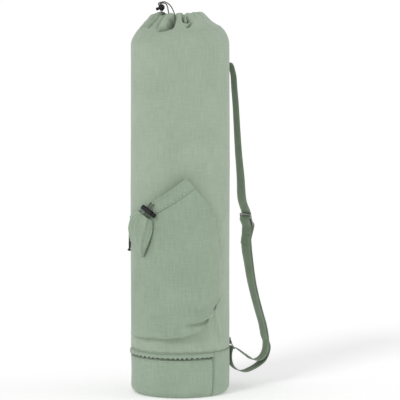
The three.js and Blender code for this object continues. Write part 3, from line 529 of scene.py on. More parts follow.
def webbing_material(name, colour):
    """Ribbed webbing: lengthwise ribs with a herringbone of slanting threads."""
    material, tree, shader = new_material(name, 0.72, specular=0.25, sheen=0.12)
    weave = add_node(tree, "UVMap", uv_map="weave").outputs["UV"]
    place = add_node(tree, "TexCoord").outputs["Object"]
    split = add_node(tree, "SeparateXYZ", {0: weave})
    across, along = split.outputs[0], split.outputs[1]
    rib = math_node(tree, "PINGPONG", across, RIB_PITCH / 2)
    slant = math_node(tree, "ADD", along, rib)
    strands = math_node(tree, "SINE", product(tree, slant, 2 * math.pi / STRAND_PITCH))
    height = math_node(tree, "ADD", ranged(tree, strands, -1, 1, 0, 1),
                       ranged(tree, rib, 0, RIB_PITCH / 2, 0, 0.8))
    dust = noise(tree, place, 0.02, 3, 0.6)
    aside = math_node(tree, "ABSOLUTE", across)
    shade = product(
        tree,
        ranged(tree, strands, -1, 1, 0.84, 1.08),
        ranged(tree, dust, 0.3, 0.7, 0.93, 1.07),
        ranged(tree, rib, 0, RIB_PITCH / 2, 0.86, 1.05),
        # Colour only: a lighter band inside each edge and a darker outermost edge
        ranged(tree, aside, EDGE_LIGHT_BAND, EDGE_LIGHT_BAND + EDGE_BAND_FADE, 0.94, 1.25),
        ranged(tree, aside, EDGE_DARK_BAND, EDGE_DARK_BAND + EDGE_BAND_FADE, 1, 0.68),
    )
    tree.links.new(tinted(tree, colour, shade), shader.inputs["Base Color"])
    bumped(tree, shader, height, 0.00022, 0.8)
    return material


def cord_material(name, colour):
    """Braided cord: fine thread noise over the modelled braid."""
    material, tree, shader = new_material(name, 0.8, specular=0.25, sheen=0.1)
    place = add_node(tree, "TexCoord").outputs["Object"]
    threads = noise(tree, place, 0.0005, 4, 0.65)
    stretch = noise(tree, place, 0.004, 2, 0.5)
    shade = product(
        tree, ranged(tree, threads, 0.25, 0.75, 0.75, 1.3), ranged(tree, stretch, 0.3, 0.7, 0.9, 1.1))
    tree.links.new(tinted(tree, colour, shade), shader.inputs["Base Color"])
    bumped(tree, shader, threads, 0.0002, 0.7)
    return material


def plastic_material(name, colour, roughness):
    """Moulded plastic: a fine grain, with scuffs that change its gloss."""
    material, tree, shader = new_material(name, roughness, specular=0.32)
    place = add_node(tree, "TexCoord").outputs["Object"]
    grain = noise(tree, place, 0.00035, 2, 0.5)
    scuffs = noise(tree, place, 0.003, 5, 0.7)
    worn = tinted(tree, colour, ranged(tree, scuffs, 0.3, 0.75, 0.85, 1.35))
    rough = ranged(tree, scuffs, 0.3, 0.75, roughness - 0.06, roughness + 0.2)
    tree.links.new(worn, shader.inputs["Base Color"])
    tree.links.new(rough, shader.inputs["Roughness"])
    bumped(tree, shader, grain, 0.00005, 0.6)
    return material


def metal_material(name, colour):
    """Plated wire and plate: brushed lines, small pits and dull rubbed spots."""
    material, tree, shader = new_material(name, 0.32, metallic=1)
    place = add_node(tree, "TexCoord").outputs["Object"]
    brushed = stretched_noise(tree, place, (900, 900, 5000), 2)
    spots = noise(tree, place, 0.004, 4, 0.6)
    worn = tinted(tree, colour, ranged(tree, spots, 0.3, 0.7, 0.8, 1.15))
    tree.links.new(worn, shader.inputs["Base Color"])
    lined, dulled = ranged(tree, brushed, 0.3, 0.7, 0.18, 0.34), ranged(tree, spots, 0.4, 0.8, 0, 0.18)
    rough = math_node(tree, "ADD", lined, dulled)
    tree.links.new(rough, shader.inputs["Roughness"])
    bumped(tree, shader, brushed, 0.00003, 0.5)
    return material


BODY_CLOTH = cloth_material("body_cloth", linear(158, 173, 154))
POCKET_CLOTH = cloth_material("pocket_cloth", linear(148, 165, 145))
LOWER_CLOTH = cloth_material("lower_cloth", linear(150, 167, 148))
TAPE_CLOTH = cloth_material("tape_cloth", linear(142, 157, 138), pitch=0.0009)
WEBBING = webbing_material("webbing", linear(150, 167, 145))
THREAD = cord_material("thread", linear(140, 155, 136))
CORD = cord_material("cord", linear(84, 90, 80))
ZIP_TEETH = plastic_material("zip_teeth", linear(66, 77, 63), 0.42)
BLACK_PLASTIC = plastic_material("black_plastic", linear(13, 14, 17), 0.4)
DARK_METAL = metal_material("dark_metal", linear(158, 157, 154))

# Cord routes before and after their locks, as turn, reach and height of chosen points
POCKET_CORD_START_A = ((-28, 0.1005, 0.3542), (-28.2, 0.102, 0.3539), (-29.2, 0.1034, 0.3518))
POCKET_CORD_END_A = (
    (-36.3, 0.1028, 0.3314),
    (-42, 0.0995, 0.3248),
    (-50, 0.0983, 0.3168),
    (-58, 0.0974, 0.309),
    (-66, 0.0965, 0.300),
    (-72.5, 0.0951, 0.2925),
    (-75.4, 0.0947, 0.286),
    (-75.5, 0.0947, 0.2805),
)
POCKET_CORD_START_B = ((-31, 0.0999, 0.3575), (-31.1, 0.1015, 0.3572), (-32, 0.1032, 0.355))
POCKET_CORD_END_B = (
    (-39.4, 0.1028, 0.3348),
    (-45.2, 0.0994, 0.3302),
    (-53, 0.0981, 0.3242),
    (-61, 0.0973, 0.3176),
    (-69, 0.0961, 0.3095),
    (-76, 0.0949, 0.301),
    (-80, 0.0942, 0.291),
    (-81.2, 0.094, 0.279),
    (-81.3, 0.094, 0.2675),
)
DRAWSTRING_START_A = (
    (-8.5, 0.0566, 0.6875),
    (-10, 0.0518, 0.6925),
    (-13.8, 0.0453, 0.6985),
    (-25, 0.0364, 0.7074),
    (-43.6, 0.0318, 0.7136),
    (-59, 0.0336, 0.7162),
)
DRAWSTRING_START_B = (
    (-47.3, 0.028, 0.6954),
    (-51.7, 0.0274, 0.701),
    (-58.7, 0.0269, 0.7076),
    (-68.7, 0.029, 0.713),
)
POCKET_PASSING = (-0.009, -0.005, 0, 0.005)
TOP_PASSING = (-0.0085, -0.007, -0.004, 0, 0.004, 0.0072)
POCKET_STRAND_ASIDE = 0.0029
TOP_STRAND_ASIDE = 0.0014
TOP_KNOT_BELOW = 0.0111
TOP_KNOT_ASIDE = 0.0006

POCKET_LOCK = {
    "origin": Vector((-0.067946, -0.079525, 0.350118)),
    "axis": Vector((0.72113, -0.46831, -0.51054)).normalized(),
    "cord_way": Vector((-0.42818, 0.27806, -0.85985)).normalized(),
}
TOP_LOCK_AXIS = Vector((-0.94, 0, -0.34)).normalized()
TOP_LOCK = {
    "origin": Vector((-0.0336, -0.014, 0.7058)) - TOP_LOCK_AXIS * BALL_RADIUS,
    "axis": TOP_LOCK_AXIS,
    "cord_way": Vector((0.34, 0, -0.94)).normalized(),
}


def tube_along(name, path, radius, sides, relief=None, closes=False):
    """A tube round a dense path. relief gives a radius factor from an angle and a distance."""
    path = np.asarray(path, float)
    along = lengths_along(path)
    if closes:
        tangents = np.roll(path, -1, axis=0) - np.roll(path, 1, axis=0)
    else:
        tangents = np.gradient(path, axis=0)
    tangents /= np.linalg.norm(tangents, axis=1)[:, None]
    side = np.cross(tangents[0], (0.31, 0.17, 0.93))
    side /= np.linalg.norm(side)
    rings = []
    angles = np.linspace(0, 2 * math.pi, sides, endpoint=False)
    for index, (point, tangent) in enumerate(zip(path, tangents)):
        side = side - tangent * np.dot(side, tangent)
        side /= np.linalg.norm(side)
        other = np.cross(tangent, side)
        size = radius * (1 if relief is None else relief(angles, along[index]))
        ring = np.outer(np.cos(angles) * size, side) + np.outer(np.sin(angles) * size, other)
        rings.append(point + ring)
    return make_mesh(name, rings, stack_faces(0, len(rings), sides, closes))


def braid(angles, along):
    """A braid of eight strands: ridges that run both ways round the cord."""
    wind = 2 * math.pi * along / BRAID_PITCH
    ridges = np.maximum(np.cos(4 * angles + 2 * wind), np.cos(4 * angles - 2 * wind))
    return 0.955 + 0.045 * ridges


def strand_route(lock, place, aside, start, passing, end):
    """A cord's route: its start, straight through a lock's slot, and its end."""
    slot = lock["origin"] + lock["axis"] * (place + aside)
    route = [on_tube(*row) for row in start]
    route += [np.array(slot + lock["cord_way"] * along) for along in passing]
    route += [on_tube(*row) for row in end]
    return spline(route, spacing=0.00045)


def knot(name, centre, turned):
    """An overhand knot of cord, as a small trefoil."""
    t = np.linspace(0, 2 * math.pi, 96, endpoint=False)
    path = np.stack([
        np.sin(t) + 2 * np.sin(2 * t),
        np.cos(t) - 2 * np.cos(2 * t),
        -1.1 * np.sin(3 * t),
    ], axis=1)
    size = (KNOT_RADIUS - CORD_DIAMETER * 0.45) / 3
    tilt = Matrix.Rotation(math.radians(55), 3, "X")
    basis = np.array(Matrix.Rotation(math.radians(turned), 3, "Y") @ tilt)
    path = path * size @ basis.T + np.array(centre)
    return tube_along(name, path, CORD_DIAMETER * 0.52, 12, braid, closes=True)


def make_cords():
    """Every free cord, with the knots and the tip on their ends."""
    top, pocket = (TOP_LOCK, BALL_SLOT_PLACE), (POCKET_LOCK, BARREL_SLOT_PLACE)
    top_a = strand_route(*top, TOP_STRAND_ASIDE, DRAWSTRING_START_A, TOP_PASSING, ())
    top_b = strand_route(*top, -TOP_STRAND_ASIDE, DRAWSTRING_START_B, TOP_PASSING[1:], ())
    pocket_a = strand_route(
        *pocket, POCKET_STRAND_ASIDE, POCKET_CORD_START_A, POCKET_PASSING, POCKET_CORD_END_A)
    pocket_b = strand_route(
        *pocket, -POCKET_STRAND_ASIDE, POCKET_CORD_START_B, POCKET_PASSING, POCKET_CORD_END_B)

    slot = TOP_LOCK["origin"] + TOP_LOCK["axis"] * (BALL_SLOT_PLACE - TOP_KNOT_ASIDE)
    top_knot = knot("drawstring_knot_cord", slot + TOP_LOCK["cord_way"] * TOP_KNOT_BELOW, 20)
    ride(top_knot, CORD, "cord", "drawstring_knot")
    below = Vector((0, 0, -CLEARANCE - KNOT_RADIUS))
    pocket_knot = knot("pocket_cord_knot_cord", Vector(pocket_b[-1]) + below, 65)
    ride(pocket_knot, CORD, "cord", "pocket_cord_knot")
    tip = make_tip(Vector(pocket_a[-1]))

    rows = (
        ("drawstring_a_cord", "drawstring_a", top_a, "knot", top_knot),
        ("drawstring_b_cord", "drawstring_b", top_b, "knot", top_knot),
        ("pocket_cord_a_cord", "pocket_cord_a", pocket_a, "fitting", tip),
        ("pocket_cord_b_cord", "pocket_cord_b", pocket_b, "knot", pocket_knot),
    )
    for name, node, route, far_end, end_piece in rows:
        cord = tube_along(name, route, CORD_DIAMETER / 2, 16, braid)
        ride(cord, CORD, "cord", node)


def lathe(name, profile, sides, shape=None):
    """A solid turned about +Y. shape gives a radius factor from an angle and a place along."""
    profile = np.array(profile, float)
    angles = np.linspace(0, 2 * math.pi, sides, endpoint=False)
    inner = profile[1:-1]
    rings = []
    for radius, along in inner:
        size = radius * (1 if shape is None else shape(angles, along))
        rings.append(np.stack([size * np.cos(angles), np.full(sides, along), size * np.sin(angles)], axis=1))
    points = np.concatenate([[[0, profile[0][1], 0]], *rings, [[0, profile[-1][1], 0]]])
    last = len(points) - 1
    faces = []
    for column in range(sides):
        beside = (column + 1) % sides
        faces.append((0, 1 + column, 1 + beside))
        for row in range(len(inner) - 1):
            low, high = 1 + row * sides, 1 + (row + 1) * sides
            faces.append((low + column, high + column, high + beside, low + beside))
        low = 1 + (len(inner) - 1) * sides
        faces.append((last, low + beside, low + column))
    return make_mesh(name, points, faces, sharp=HARD_CREASE)


def rounded_outline(width, height, radius, centre=(0, 0), steps=6):
    """The corners' arcs of a rounded rectangle, anticlockwise."""
    points = []
    for corner, (x, y) in enumerate(((1, 1), (-1, 1), (-1, -1), (1, -1))):
        for step in range(steps + 1):
            angle = math.pi / 2 * (corner + step / steps)
            points.append((
                centre[0] + x * (width / 2 - radius) + radius * math.cos(angle),
                centre[1] + y * (height / 2 - radius) + radius * math.sin(angle),
            ))
    return points


def plate(name, outlines, thickness, bevel, resolution=3):
    """A flat piece from an outline and its holes, with rounded edges, centred on z = 0."""
    curve = bpy.data.curves.new(name, "CURVE")
    curve.dimensions = "2D"
    curve.fill_mode = "BOTH"
    curve.extrude = thickness / 2 - bevel
    curve.bevel_depth = bevel
    curve.bevel_resolution = resolution
    curve.offset = -bevel
    for outline in outlines:
        line = curve.splines.new("POLY")
        line.points.add(len(outline) - 1)
        line.use_cyclic_u = True
        for point, (x, y) in zip(line.points, outline):
            point.co = (x, y, 0, 1)
    made = settle(link(bpy.data.objects.new(name, curve)))
    smooth(made.data, HARD_CREASE)
    return made


def placed(obj, x_axis, y_axis, origin):
    """Moves a mesh, made at the origin, to a place with its own axes."""
    z_axis = x_axis.cross(y_axis).normalized()
    basis = Matrix((x_axis, y_axis, z_axis)).transposed().to_4x4()
    obj.data.transform(Matrix.Translation(origin) @ basis)
    obj.data.update()
    return obj


def combine(obj, other, operation):
    """Cuts another mesh out of one or joins it on, and removes the other."""
    boolean = obj.modifiers.new("combine", "BOOLEAN")
    boolean.operation = operation
    boolean.solver = "EXACT"
    boolean.object = other
    settle(obj)
    bpy.data.objects.remove(other)
    smooth(obj.data, HARD_CREASE)


def cut_slot(obj, length, place):
    """Cuts the slot for two cords through a lock's housing or button."""
    outline = rounded_outline(CORD_SLOT_WIDTH, length, CORD_SLOT_WIDTH / 2 - 0.00005, (0, place))
    combine(obj, plate("slot_cutter", [outline], 2 * CORD_SLOT_REACH, 0, 0), "DIFFERENCE")


def place_lock(obj, lock):
    across = lock["axis"].cross(lock["cord_way"]).normalized()
    return placed(obj, across, lock["axis"], lock["origin"])


def make_tip(end):
    """The moulded end of a pocket cord, with three grip rings."""
    radius, length = TIP_RADIUS, TIP_LENGTH
    profile = [(0, 0), (radius * 0.62, 0), (radius * 0.8, -length * 0.03)]
    for ring in range(3):
        start = -length * (0.12 + 0.13 * ring)
        profile += [(radius * 0.98, start), (radius, start - length * 0.04),
                    (radius * 0.98, start - length * 0.08), (radius * 0.84, start - length * 0.1)]
    profile += [(radius * 0.9, -length * 0.55), (radius * 0.78, -length * 0.93),
                (radius * 0.6, -length * 0.99), (0, -length)]
    tip = lathe("pocket_cord_tip_plastic", profile, 28)
    placed(tip, Vector((1, 0, 0)), Vector((0, 0, 1)), end + Vector((0, 0, -CLEARANCE)))
    return ride(tip, BLACK_PLASTIC, "black_plastic", "pocket_cord_tip")


def barrel_shape(angles, along):
    """Four lengthwise ribs with flats between them, fading at the barrel's ends."""
    fade = 0.0014
    low, high = BARREL_RIB_START, BARREL_LENGTH - BARREL_RIB_START
    middle = smoothstep(low, low + fade, along) * (1 - smoothstep(high - fade, high, along))
    ribs = np.maximum(0, np.cos(4 * angles)) ** 6
    return 1 - middle * BARREL_RIB_DEPTH * (1 - ribs)


# A button's stem and cap: their radius, and how far they rise past the housing's mouth
BARREL_CAP = (
    (0.0029, -0.0001), (0.0039, 0), (0.0042, 0.0003), (0.0042, 0.0011), (0.0038, 0.0014), (0.0038, 0.0018),
    (0.0042, 0.0021), (0.0042, 0.0031), (0.0037, 0.0038), (0.0028, 0.004), (0.0024, 0.0036), (0, 0.0036),
)
BALL_CAP = (
    (0.0027, 0), (0.0028, 0.0001), (0.0028, 0.0024), (0.0025, 0.0029), (0.0019, 0.0032), (0.0015, 0.0029),
    (0, 0.0029),
)


def make_housing(name, lock, profile, sides, slot_length, slot_place, shape=None):
    housing = lathe(name + "_plastic", profile, sides, shape)
    cut_slot(housing, slot_length, slot_place)
    ride(place_lock(housing, lock), BLACK_PLASTIC, "black_plastic", name)


def make_button(name, lock, floor, mouth, press, cap, sides, slot_length, slot_place):
    """A button with a slot through its stem, released from its housing by its own press."""
    edge = 0.0003
    low = floor + press + CLEARANCE
    high = mouth + press + CLEARANCE
    stem = cap[0][0]
    profile = [(0, low), (stem - edge, low), (stem, low + edge)]
    profile += [(radius, high + rise) for radius, rise in cap]
    button = lathe(name + "_plastic", profile, sides)
    cut_slot(button, slot_length + press, slot_place + press / 2)
    ride(place_lock(button, lock), BLACK_PLASTIC, "black_plastic", name)
    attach(button, name)


def make_locks():
    """Both cord locks: housings with a slot, and the buttons that press into them."""
    rounding = []
    for degrees in range(0, 91, 15):
        a = math.radians(degrees)
        rounding.append((BARREL_RADIUS - BARREL_EDGE * (1 - math.sin(a)), BARREL_EDGE * (1 - math.cos(a))))
    lengths = np.linspace(BARREL_RIB_START, BARREL_LENGTH - BARREL_RIB_START, 25)
    barrel = [
        (0, 0), *rounding, *((BARREL_RADIUS, along) for along in lengths),
        (BARREL_RADIUS, BARREL_LENGTH - 0.0006), (BARREL_RADIUS - 0.0003, BARREL_LENGTH),
        (BARREL_BORE + 0.0002, BARREL_LENGTH), (BARREL_BORE, BARREL_LENGTH - 0.0003),
        (BARREL_BORE, BARREL_FLOOR), (0, BARREL_FLOOR),
    ]
    make_housing(
        "pocket_lock_housing", POCKET_LOCK, barrel, 64, BARREL_SLOT_LENGTH, BARREL_SLOT_PLACE, barrel_shape)
    make_button(
        "pocket_lock_button", POCKET_LOCK, BARREL_FLOOR, BARREL_LENGTH, BARREL_PRESS, BARREL_CAP, 48,
        BARREL_SLOT_LENGTH, BARREL_SLOT_PLACE)

    mouth = BALL_RADIUS + BALL_MOUTH
    arc = [math.acos(-BALL_MOUTH / BALL_RADIUS) * step / 26 for step in range(27)]
    ball = [
        *((BALL_RADIUS * math.sin(a), BALL_RADIUS - BALL_RADIUS * math.cos(a)) for a in arc),
        (BALL_BORE + 0.0004, mouth), (BALL_BORE, mouth - 0.0002), (BALL_BORE, BALL_FLOOR), (0, BALL_FLOOR),
    ]
    make_housing("top_lock_housing", TOP_LOCK, ball, 56, BALL_SLOT_LENGTH, BALL_SLOT_PLACE)
    make_button(
        "top_lock_button", TOP_LOCK, BALL_FLOOR, mouth, BALL_PRESS, BALL_CAP, 40,
        BALL_SLOT_LENGTH, BALL_SLOT_PLACE)


# The gathered top's meridian: how far in from the tube towards the mouth and how far up, as
# shares of those two lengths
TOP_ROWS = (
    (0, 0), (0.01, 0.105), (0.037, 0.21), (0.086, 0.316), (0.216, 0.526), (0.37, 0.728), (0.543, 0.912),
    (0.667, 1), (0.802, 0.982), (0.926, 0.921), (1, 0.842),
)

# The folds of the gathered top: how deep and how wide each is, as shares of the deepest fold, and
# its way as turns and shares from the tube to the mouth. A depth below 0 stands out.
TOP_FOLDS = (
    (1.3, 0.2, ((-13.6, 0.58), (-12.2, 0.68), (-12, 0.78), (-13, 0.9))),
    (3, 0.46, ((-15.4, 0.6), (-15, 0.53), (-16.2, 0.47))),
    (3.6, 0.22, ((-13.6, 0.62), (-13.4, 0.55), (-14.6, 0.47))),
    (1.3, 0.5, ((-17, 0.43), (-22, 0.4), (-31, 0.36))),
    (-0.5, 0.8, ((-30, 0.5), (-28, 0.6), (-28, 0.72))),
    (0.45, 0.26, ((-39, 0.4), (-41, 0.48), (-43, 0.62), (-44, 0.78))),
    (-0.35, 0.4, ((-4.5, 0.38), (-6, 0.55), (-8, 0.755), (-8, 0.9))),
    (2.2, 0.19, (
        (13, 0.9), (9.5, 0.76), (7.5, 0.62), (8.6, 0.565), (11.5, 0.54), (16, 0.555), (19, 0.6),
        (17.5, 0.68), (18, 0.85))),
    (-0.14, 0.22, ((6, 0.5), (11, 0.47), (17, 0.5))),
    (0.75, 0.26, ((21.5, 0.52), (17.2, 0.46), (13, 0.425))),
    (-0.22, 0.36, ((32, 0.66), (27, 0.55), (22.8, 0.47), (15.8, 0.385))),
    (1.7, 0.34, ((-57, 0.42), (-57.5, 0.47), (-56.8, 0.52))),
    (1.9, 0.34, ((-57.5, 0.58), (-61, 0.64), (-62, 0.75))),
    (-0.3, 0.4, ((-64, 0.36), (-64, 0.5), (-68, 0.65))),
    (-0.25, 0.36, ((-48, 0.38), (-49, 0.5), (-53, 0.65))),
    (1.6, 0.28, ((-75, 0.36), (-76, 0.5), (-77, 0.65), (-77, 0.78))),
    (-0.4, 0.8, ((-92, 0.46), (-92, 0.55))),
    (-0.6, 0.9, ((-91, 0.62), (-86, 0.76))),
    (-0.45, 1.3, ((24, 0.76), (60, 0.76), (95, 0.72))),
    (0.35, 0.2, ((38, 0.66), (39, 0.74), (40, 0.88))),
    (0.3, 0.22, ((61, 0.6), (62, 0.7), (61, 0.85))),
    (0.5, 0.4, ((112, 0.34), (109, 0.5), (113, 0.85))),
    (0.6, 0.4, ((138, 0.33), (141, 0.55), (139, 0.85))),
    (0.5, 0.4, ((168, 0.33), (165, 0.5), (169, 0.85))),
    (0.6, 0.4, ((195, 0.33), (198, 0.55), (196, 0.85))),
    (0.5, 0.4, ((226, 0.34), (223, 0.5), (225, 0.85))),
    (0.6, 0.4, ((251, 0.33), (248, 0.55), (252, 0.85))),
)
FOLD_SHARPNESS = 1.6

# Where the shoulders stand out: how far, the middle turn and share, and how wide in both
SHOULDERS = (
    (0.005, 96, 0.28, 48, 0.17),
    (0.002, 264, 0.3, 40, 0.12),
)
MOUTH_PLEATS = 27
MOUTH_PLEAT_DEPTH = 0.0011


def way_distance(points, way):
    """How far points are from a line of straight pieces."""
    nearest = np.full(points.shape[:-1], np.inf)
    for start, stop in zip(way, way[1:]):
        run = stop - start
        share = np.clip((points - start) @ run / (run @ run), 0, 1)
        nearest = np.minimum(nearest, np.linalg.norm(points - start - share[..., None] * run, axis=-1))
    return nearest


def fold_relief(points, share, rows):
    """How far the gathered top's folds reach in, above the casing seam that holds them flat."""
    places = np.linspace(0, 1, len(rows))
    total = np.zeros(points.shape[:-1])
    for depth, width, way in TOP_FOLDS:
        turns, shares = np.array(spline(way, count=24)).T
        reach, height = (np.interp(shares, places, column) for column in rows.T)
        line = on_tube(turns, reach, height)
        apart = way_distance(points, line) / (width * FOLD_DEPTH)
        total += depth * FOLD_DEPTH * np.exp(-apart ** FOLD_SHARPNESS)
    return total * smoothstep(CASING_SHARE - 0.012, CASING_SHARE + 0.025, share)


def revolved(name, rows, turns, thickness, closes=False, relief=None, inside=None):
    """A wall of cloth turned about the axis, from rows of reach and height on its outer face,
    with rounded borders. relief gives how far out the cloth stands from a turn, a row's share
    and its points, and inside lists the rows that its inner face keeps."""
    rows = np.asarray(rows, float)
    along = np.gradient(rows, axis=0)
    along /= np.linalg.norm(along, axis=1)[:, None]
    outward = np.stack([along[:, 1], -along[:, 0]], axis=1)
    lengths = lengths_along(rows)
    share = lengths / lengths[-1]
    turns = np.asarray(turns, float)
    base = on_tube(turns[None, :], rows[:, 0][:, None], rows[:, 1][:, None])
    out = on_tube(turns[None, :], outward[:, 0][:, None], outward[:, 1][:, None])
    stand = np.zeros(base.shape[:2]) if relief is None else relief(turns[None, :], share[:, None], base)
    rounding = edge_round(np.minimum(lengths, lengths[-1] - lengths))[:, None]
    if not closes:
        rounding = rounding * edge_round(np.minimum(turns - turns[0], turns[-1] - turns) * ONE_DEGREE)
    half = thickness / 2
    front = base + out * (stand - half + half * rounding)[..., None]
    back = base + out * (stand - half - half * rounding)[..., None]
    if inside is not None:
        back = back[inside]
    around = np.append(turns, turns[0] + 360) if closes else turns
    uv = np.stack(np.broadcast_arrays(np.radians(around)[None, :] * TUBE_RADIUS, lengths[:, None]), axis=-1)
    return shell(name, front, back, uv, closes)


# Creases of the tube itself: a height and a width, and their way as turns and heights
BODY_CREASES = (
    (0.0026, 0.0042, ((43, 0.162), (46, 0.146), (50, 0.129), (55.5, 0.097))),
    (-0.0014, 0.004, ((48, 0.165), (53, 0.145), (58, 0.12))),
    (0.0016, 0.0034, ((33, 0.128), (36, 0.114), (38, 0.1))),
    (-0.0006, 0.006, ((-70, 0.42), (-52, 0.445), (-30, 0.44))),
    (0.0006, 0.008, ((60, 0.47), (38, 0.44), (20, 0.41))),
    (-0.0007, 0.005, ((5, 0.022), (8, 0.05), (9, 0.078))),
)


def body_relief(turns, points):
    """Soft drape down the tube, creases that pull at the pocket, and puckers at the seam."""
    drape = DRAPE_DEPTH * waves(points * (1, 1, 0.4), 3, 0.11)
    drape = drape + FINE_DRAPE_DEPTH * waves(points * (1, 1, 0.6), 5, 0.045)
    wander = turns + 1.5 * np.sin(np.radians(turns * 5)) + np.sin(np.radians(turns * 11 + 50))
    above_seam = points[..., 2] - SEAM_HEIGHT
    pull = SEAM_PULL * np.cos(np.radians(wander * 29)) * bump_of(above_seam / 0.011)
    turned_in = -SEAM_TURN_IN * bump_of(above_seam / SEAM_TURN_IN_WIDTH)
    creases = np.zeros(points.shape[:-1])
    for rise, width, way in BODY_CREASES:
        line = spline([(math.radians(turn) * TUBE_RADIUS, height) for turn, height in way], count=16)
        around = (np.radians(turns + 0 * above_seam) + math.pi) % (2 * math.pi) - math.pi
        flat = np.stack([around * TUBE_RADIUS, points[..., 2]], axis=-1)
        creases += rise * bump_of(way_distance(flat, line) / width)
    return drape + pull + turned_in + creases


def make_body():
    """The tube with its gathered top, one closed wall of cloth."""
    table = np.array(TOP_ROWS)
    reach = TUBE_RADIUS + (MOUTH_RADIUS - TUBE_RADIUS) * table[:, 0]
    height = TUBE_TOP + TOP_HEIGHT * table[:, 1]
    top = spline(np.stack([reach, height], axis=1), count=TOP_ROWS_FINE)
    rises = (TUBE_TOP - SEAM_HEIGHT) * edged(TUBE_ROWS, TUBE_TOP - SEAM_HEIGHT)[:-4]
    heights = SEAM_HEIGHT + np.sort(np.concatenate([rises, SEAM_ROWS]))
    tube = np.stack([np.full(len(heights), TUBE_RADIUS), heights], axis=1)
    rows = np.concatenate([tube, top])
    top_share = np.concatenate([np.zeros(len(tube)), np.linspace(0, 1, len(top))])[:, None]

    def relief(turns, share, points):
        folds = fold_relief(points, top_share, top)
        near_mouth = smoothstep(0.6, 0.95, top_share)
        wander = turns + 3 * np.sin(np.radians(turns * 3 + 40)) + 2 * np.sin(np.radians(turns * 7))
        pleats = MOUTH_PLEAT_DEPTH * np.cos(np.radians(wander * MOUTH_PLEATS)) * near_mouth
        above_casing = top_share - CASING_SHARE
        gathers = CASING_GATHER_DEPTH * np.cos(np.radians(wander * 41)) * bump_of((above_casing - 0.03) / 0.05)
        seam = CASING_SEAM_DEPTH * bump_of(above_casing / 0.012)
        small = RUMPLE_DEPTH * waves(points * (1.2, 1.2, 0.6), 11, 0.028) * smoothstep(0.25, 0.5, top_share)
        shoulder = sum(
            out * bump_of((turns - turn) / wide) * bump_of((top_share - place) / tall)
            for out, turn, place, wide, tall in SHOULDERS)
        drape = body_relief(turns, points) * (1 - smoothstep(0.3, 0.7, top_share)) + shoulder
        return drape - folds - seam + pleats + gathers + small

    fine = np.arange(-FINE_TURNS, FINE_TURNS, FINE_STEP)
    turns = np.concatenate([fine, np.arange(FINE_TURNS, 360 - FINE_TURNS - COARSE_STEP / 2, COARSE_STEP)])
    inside = np.concatenate([
        np.linspace(0, len(tube) - 1, 12).round().astype(int),
        len(tube) + np.linspace(1, len(top) - 1, TOP_ROWS_FINE // 2).round().astype(int),
    ])
    body = revolved("body_cloth", rows, turns, CLOTH_WALL, closes=True, relief=relief, inside=inside)
    ride(body, BODY_CLOTH, "body_cloth", "main_body")


FLAP_LOW = SEAM_HEIGHT - CLEARANCE - FLAP_HEIGHT
TAPE_LOW = FLAP_LOW - CLEARANCE - ZIP_TAPE_HEIGHT
FRONT_TOP = TAPE_LOW - CLEARANCE
CHAIN_MIDDLE = TAPE_LOW + ZIP_TAPE_HEIGHT / 2
TAPE_OUTER = TUBE_RADIUS - ZIP_TAPE_SINK
LIP_PITCH = 0.0094
LIP_WAVE = 0.0015
LIP_RISE = 0.0004
LIP_STAND_OFF = 0.002


def base_rows(high):
    """The outer face of a base wall, from the rounded edge at the floor up."""
    angles = np.radians(np.linspace(0, 90, 14))
    reach = TUBE_RADIUS - BASE_ROUND + BASE_ROUND * np.sin(angles)
    corner = np.stack([reach, BASE_ROUND - BASE_ROUND * np.cos(angles)], axis=1)
    rise = BASE_ROUND + (high - BASE_ROUND) * edged(24, high - BASE_ROUND)[5:]
    wall = np.stack([np.full(len(rise), TUBE_RADIUS), rise], axis=1)
    start = corner[0] + (corner[1:2] - corner[0]) * np.array([[0], [0.25], [0.6]])
    return np.concatenate([start, corner[1:], wall])


def panel_relief(seed):
    """A slightly slack panel, held tight along its borders and drawn in beside the zip's end."""
    def relief(turns, share, points):
        slack = PANEL_SLACK * waves(points * (1, 1, 0.7), seed, 0.06)
        tight = np.sin(math.pi * np.clip(share, 0, 1)) ** 0.5
        wander = turns + np.sin(np.radians(turns * 7))
        pulled = PANEL_PULL * np.cos(np.radians(wander * 31)) * bump_of((share - 1) / 0.1)
        away = (turns - ZIP_END_TURN) * ONE_DEGREE
        side_seam = SIDE_SEAM_DEPTH * bump_of(away / SIDE_SEAM_WIDTH)
        lip = PANEL_LIP * bump_of((share - 1) / 0.035) * bump_of((turns + 3) / 17)
        return slack * tight + pulled - side_seam + lip
    return relief


def turns_between(first, last, count):
    length = math.radians(abs(last - first)) * TUBE_RADIUS
    return first + (last - first) * edged(count, length)


